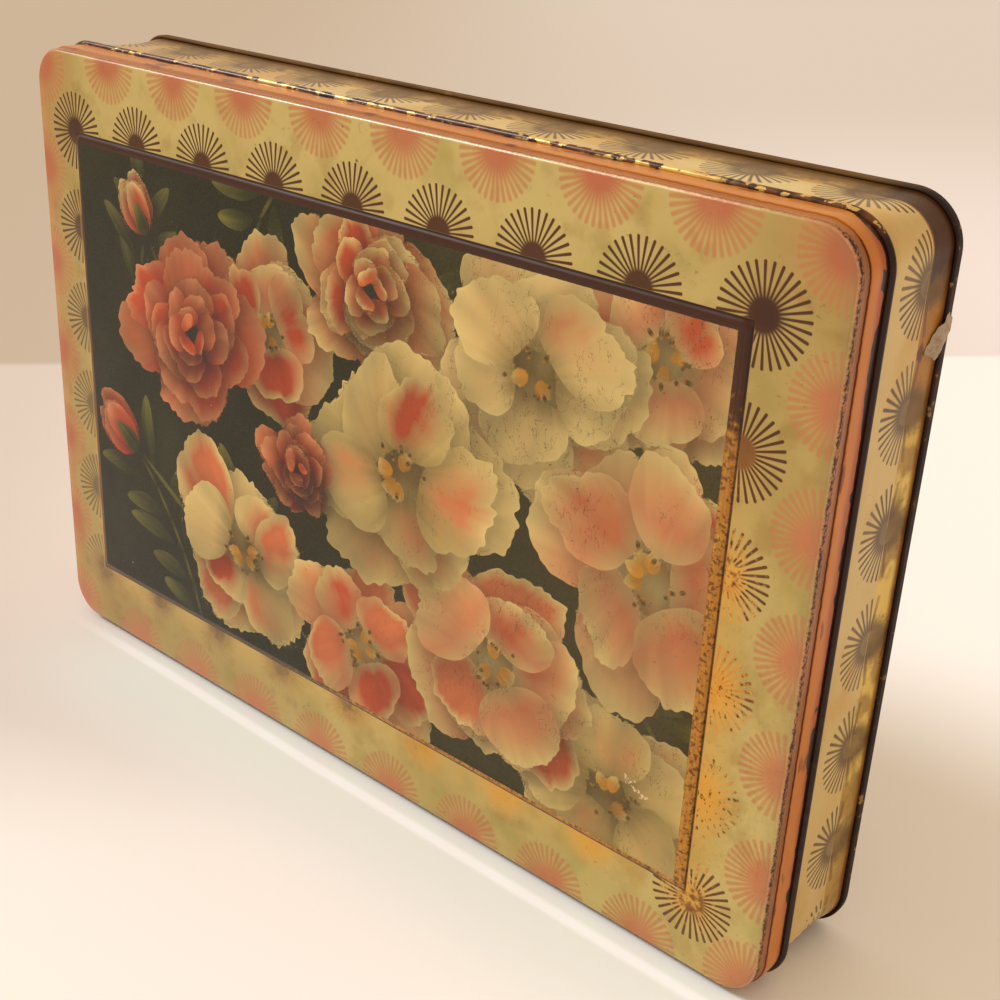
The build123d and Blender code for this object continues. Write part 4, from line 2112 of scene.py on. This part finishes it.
@dataclass(frozen=True)
class Base:
    """Base: stiffened flat, chuck wall and the seam rolled round the wall's hook.

    The foot's middle is where the seam takes the wall. The height is from the base rim to the
    inside face, and the stiffening bead is inset from the chuck wall.
    """

    sheet: Sheet
    frame: TinFrame
    foot_mid: float
    height: float = 3.55
    bend: float = 0.65
    bead_inset: float = 9.0
    bead_rise: float = 0.6
    bead_bevel: float = 1.0
    bead_corner: float = 6.0

    def section(self) -> Strip:
        """Section from the flat's edge to the tip of the cover hook inside the seam.

        Returns:
            The section.
        """
        layer, thick = self.sheet.layer, self.sheet.thick
        low, high = self.sheet.low_fold, self.sheet.high_fold
        return Strip.bent(
            (self.foot_mid - layer - self.bend, self.height - thick / 2),
            0,
            thick,
            (
                (-90, self.bend),
                self.height - thick / 2 - self.bend - low,
                (180, 2 * layer),
                high - low,
                (180, layer),
                high - low - self.sheet.hook_shortfall,
            ),
        )

    def build(self, enamel: Material, plain: Material) -> Piece:
        """Makes the base.

        Args:
            enamel: Finish of the outside and the seam.
            plain: Finish of the inside.

        Returns:
            The piece.
        """
        strip = self.section()
        plan = Plan(self.frame.length, self.frame.width, self.sheet.radius)
        path = plan.path()
        shell = Shell("base_shell", self.frame, (enamel, plain))
        inset = self.foot_mid - self.sheet.layer - self.bend - self.bead_inset
        bead = Plan(plan.length + 2 * inset, plan.width + 2 * inset, self.bead_corner)
        slope = pressed(bead, self.bead_bevel, self.bead_rise)
        thick = self.sheet.thick
        for side, slot, lower in ((strip.left, Face.INNER, 0.0), (strip.right, Face.OUTER, thick)):
            ring = path.carry(side)
            shell.grid(ring, path.run, strip.run, slot)
            rings = [(outline, self.height - lower + rise) for outline, rise in slope]
            plate(shell, ring[:, 0], rings, slot, 0.0)
        shell.edge(path, strip, -1, strip.run[-1], Face.INNER)
        return shell.build()


@dataclass(frozen=True)
class Scrap:
    """Dried scrap of paper tape across the seam and the foot, high on the right.

    Attributes:
        frame: Where the tin stands.
        crease: Height of the wall's crease.
        low: Height above the base rim, and place up the side, of the middle of its lower end.
        high: The same for its upper end.
        half: Half its width.
        thick: Its thickness.
        step: Height at which it leaves the foot, and the drop over which it reaches the seam.
        seam: How far the seam stands out from the lid's band.
        most: How far the scrap stands out at most.
        points: Points of its grid, along and across.
    """

    frame: TinFrame
    crease: float
    low: tuple[float, float] = (6.1, 65.3)
    high: tuple[float, float] = (0.9, 74.6)
    half: float = 2.1
    thick: float = 0.1
    step: tuple[float, float] = (5.2, 2.2)
    seam: float = 1.55
    most: float = 1.585
    points: tuple[int, int] = (72, 30)

    def build(self, finish: Material) -> Piece:
        """Makes the scrap: it bridges the step from foot to seam, creased and torn at its edges.

        The foot stands off by -0.6 + 0.0875 d + 0.00635 d², where d is the depth under the
        crease. Over its step the scrap goes out in a smooth curve to the seam. Folds are sums of
        sines without their sign.

        Args:
            finish: Finish of the paper.

        Returns:
            The piece.
        """
        chance = np.random.default_rng(11)
        rows, columns = self.points
        share, aside = np.meshgrid(np.linspace(0, 1, rows), np.linspace(-1, 1, columns), indexing="ij")
        waves = chance.uniform((3, 0, 0), (40, 9, 6), (7, 3))
        torn = sum(np.sin(rate * share + turn + aside) for rate, _, turn in waves) / 7
        ends = sum(np.sin(rate * aside * 0.3 + turn) for rate, _, turn in waves) / 7
        share = share + ends * 0.2 * (share - 0.5)
        low, high = np.array(self.low), np.array(self.high)
        way = (high - low) / np.linalg.norm(high - low)
        spread = (aside * self.half * (1 + 0.34 * torn))[..., None] * (way[1], -way[0])
        height, place = np.moveaxis(low + (high - low) * share[..., None] + spread, -1, 0)
        height = np.maximum(height, 0.14 + 0.03 * (aside + share))
        depth = np.maximum(self.crease - height, 0)
        foot = -0.6 + 0.0875 * depth + 0.00635 * depth**2
        step = np.clip((self.step[0] - height) / self.step[1], 0, 1)
        out = foot + 0.03 + (self.seam - foot) * step**2 * (3 - 2 * step)
        turns = (share * rate * 0.35 + aside * lean * 0.5 + turn for rate, lean, turn in waves)
        folds = sum(np.abs(np.sin(angle)) for angle in turns)
        out = out + np.clip(folds / 7 - 0.35, 0, 1) * (0.25 + 0.9 * (1 - step))
        out = np.minimum(out, self.most)
        faces = [
            np.stack((self.frame.length / 2 + out + lift, place, height), -1) for lift in (self.thick, 0.0)
        ]
        shell = Shell("tape_scrap", self.frame, (finish,))
        loops = []
        for face in faces:
            shell.grid(face, np.arange(float(rows)), np.arange(float(columns)), Face.OUTER, closed=False)
            loops.append(border(face))
        shell.grid(np.stack(loops, 1), np.zeros(len(loops[0]) + 1), np.zeros(2), Face.OUTER)
        return shell.build(60.0)


# ---- studio ----


@dataclass(frozen=True)
class Studio:
    """Pale table, soft light and the camera.

    Attributes:
        eye: Camera place in metres.
        right: Direction of the picture's right.
        up: Direction of the picture's top.
        lens: Focal length in millimetres.
        sensor: Width of the sensor in millimetres.
        table_reach: Half the floor's size in metres.
        sky: Linear colour of the light from all round.
        sky_power: Its strength.
        key: Linear colour of the far light.
        key_power: Its strength in watts on a square metre.
        key_spread: Angle over which it spreads, in degrees.
        key_way: Direction from the tin to it.
    """

    eye: tuple[float, float, float] = (0.28498, -0.29215, 0.27287)
    right: tuple[float, float, float] = (0.74692805, 0.66322082, 0.04729293)
    up: tuple[float, float, float] = (-0.30638912, 0.280188, 0.90973644)
    lens: float = 53.87
    sensor: float = 36.0
    table_reach: float = 6.0
    sky: tuple[float, float, float] = (1.0, 0.8, 0.6)
    sky_power: float = 0.8
    key: tuple[float, float, float] = (0.95, 1.0, 1.1)
    key_power: float = 2.3
    key_spread: float = 16.0
    key_way: tuple[float, float, float] = (-1.2, -0.63, 1.0)

    def camera(self) -> None:
        """Places the camera."""
        data = bpy.data.cameras.new("camera")
        data.lens = self.lens
        data.sensor_width = self.sensor
        made = put("camera", data)
        right, up = np.array(self.right), np.array(self.up)
        turn = np.column_stack((right, up, np.cross(right, up)))
        made.matrix_world = Matrix.Translation(self.eye) @ Matrix(turn.tolist()).to_4x4()
        bpy.context.scene.camera = made

    def _table_top(self) -> Material:
        """White table near the tin with painted shade to the far left and just in front of the lid, and a
        painted reflection as a paler streak at its front; beige beyond the table, with painted shade to the
        left and painted light to the right.

        Returns:
            The material.
        """
        # painted shade: the table starts dim and is laid white to the right and near the tin, so it stays
        # dim to the far left
        brush = Brush("table_top", Tone.TABLE_DIM)
        away = brush.x * -0.775 + brush.y * 0.633
        aside = brush.x * 0.748 + brush.y * 0.663
        brush.lay(Tone.TABLE, aside.rise(-220, 20).most(away.rise(80, -60)))
        front = brush.x.rise(-150, -90) * brush.x.rise(170, 130)
        # painted shade: a slightly darker, greener band on the table just in front of the lid
        brush.lay(Tone.TABLE_NEAR, brush.y.rise(-75, -28) * brush.y.rise(-10, -20) * front)
        # painted reflection: a bright streak on the table just in front of the lid's lower edge, as of
        # light thrown from the glossy lid
        edge = brush.y * -1.0 - brush.x.rise(-100, 0) * 1.4
        brush.lay(Tone.STREAK, (edge - 26.4).size().rise(3.0, 0.8) * front * 0.9)
        # painted shade and light: the beige beyond the table is dimmer to the left, and paler to the right
        # and nearer the table
        beige = brush.mix(Tone.BACK_DIM, Tone.BACK, aside.rise(-400, 350))
        beige = brush.mix(beige, Tone.BACK_PALE, aside.rise(0, 400) * away.rise(1300, 450))
        far = away.rise(368, 378)
        brush.lay(beige, far)
        return brush.surface((1.0 - far) * -0.55 + 0.9)

    def table(self) -> None:
        """Lays a broad floor."""
        mesh = bpy.data.meshes.new("table")
        reach = self.table_reach
        corners = [(-reach, -reach, 0), (reach, -reach, 0), (reach, reach, 0), (-reach, reach, 0)]
        mesh.from_pydata(corners, [], [(0, 1, 2, 3)])
        mesh.materials.append(self._table_top())
        put("table", mesh)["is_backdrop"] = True

    def light(self) -> None:
        """Warm even surround, and a soft white light from the upper left in front."""
        scene = bpy.context.scene
        scene.view_settings.view_transform = "Standard"
        world = bpy.data.worlds.new("surround")
        world.use_nodes = True
        sky = world.node_tree.nodes["Background"]
        sky.inputs[0].default_value = (*self.sky, 1.0)
        sky.inputs[1].default_value = self.sky_power
        scene.world = world
        data = bpy.data.lights.new("key", "SUN")
        data.angle, data.energy, data.color = np.radians(self.key_spread), self.key_power, self.key
        back = np.array(self.key_way) / np.linalg.norm(self.key_way)
        side = np.cross((0.0, 0.0, 1.0), back)
        side = side / np.linalg.norm(side)
        turn = np.column_stack((side, np.cross(back, side), back))
        put("key", data).matrix_world = Matrix(turn.tolist()).to_4x4()


def main() -> None:
    """Builds the tin's pieces and the studio in order."""
    logging.basicConfig(level=logging.INFO, format="%(name)s %(message)s")
    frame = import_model()
    LOG.info("frame with %d nodes", len(frame["nodes"]))
    cad_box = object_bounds()
    sheet = Sheet()
    place = TinFrame.measured(sheet.curl_reach)
    plain = TinPlate().make()

    lid = Lid(sheet, place)
    shell = lid.build(LidPrint(place, lid.panel, lid.marks, picture=False).make(), plain)
    seat(shell, Body.LID, "lid_print", "lid")
    picture = lid.build_picture(LidPrint(place, lid.panel, lid.marks, picture=True).make())
    seat(picture, Body.LID, "lid_print", "lid")
    paint(picture, (lid.panel.shift[0], place.middle + lid.panel.shift[1]))

    wall = BodyWall(sheet, place)
    seat(wall.build(WallPrint(place).make(), plain), Body.TIN, "body_print", "body_wall")

    base = Base(sheet, place, wall.foot_mid)
    enamel = SeamEnamel(base.section().marks[0]).make()
    seat(base.build(enamel, plain), Body.TIN, "base_enamel", "bottom_panel")

    scrap = Scrap(place, wall.crease_height)
    seat(scrap.build(OldPaper().make()), Body.TIN, "body_print")

    studio = Studio()
    studio.table()
    studio.light()
    studio.camera()
    boxes = {"cad": cad_box, "visual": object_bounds()}
    {name: [list(corner) for corner in box] for name, box in boxes.items()}


if __name__ == "__main__":
    main()
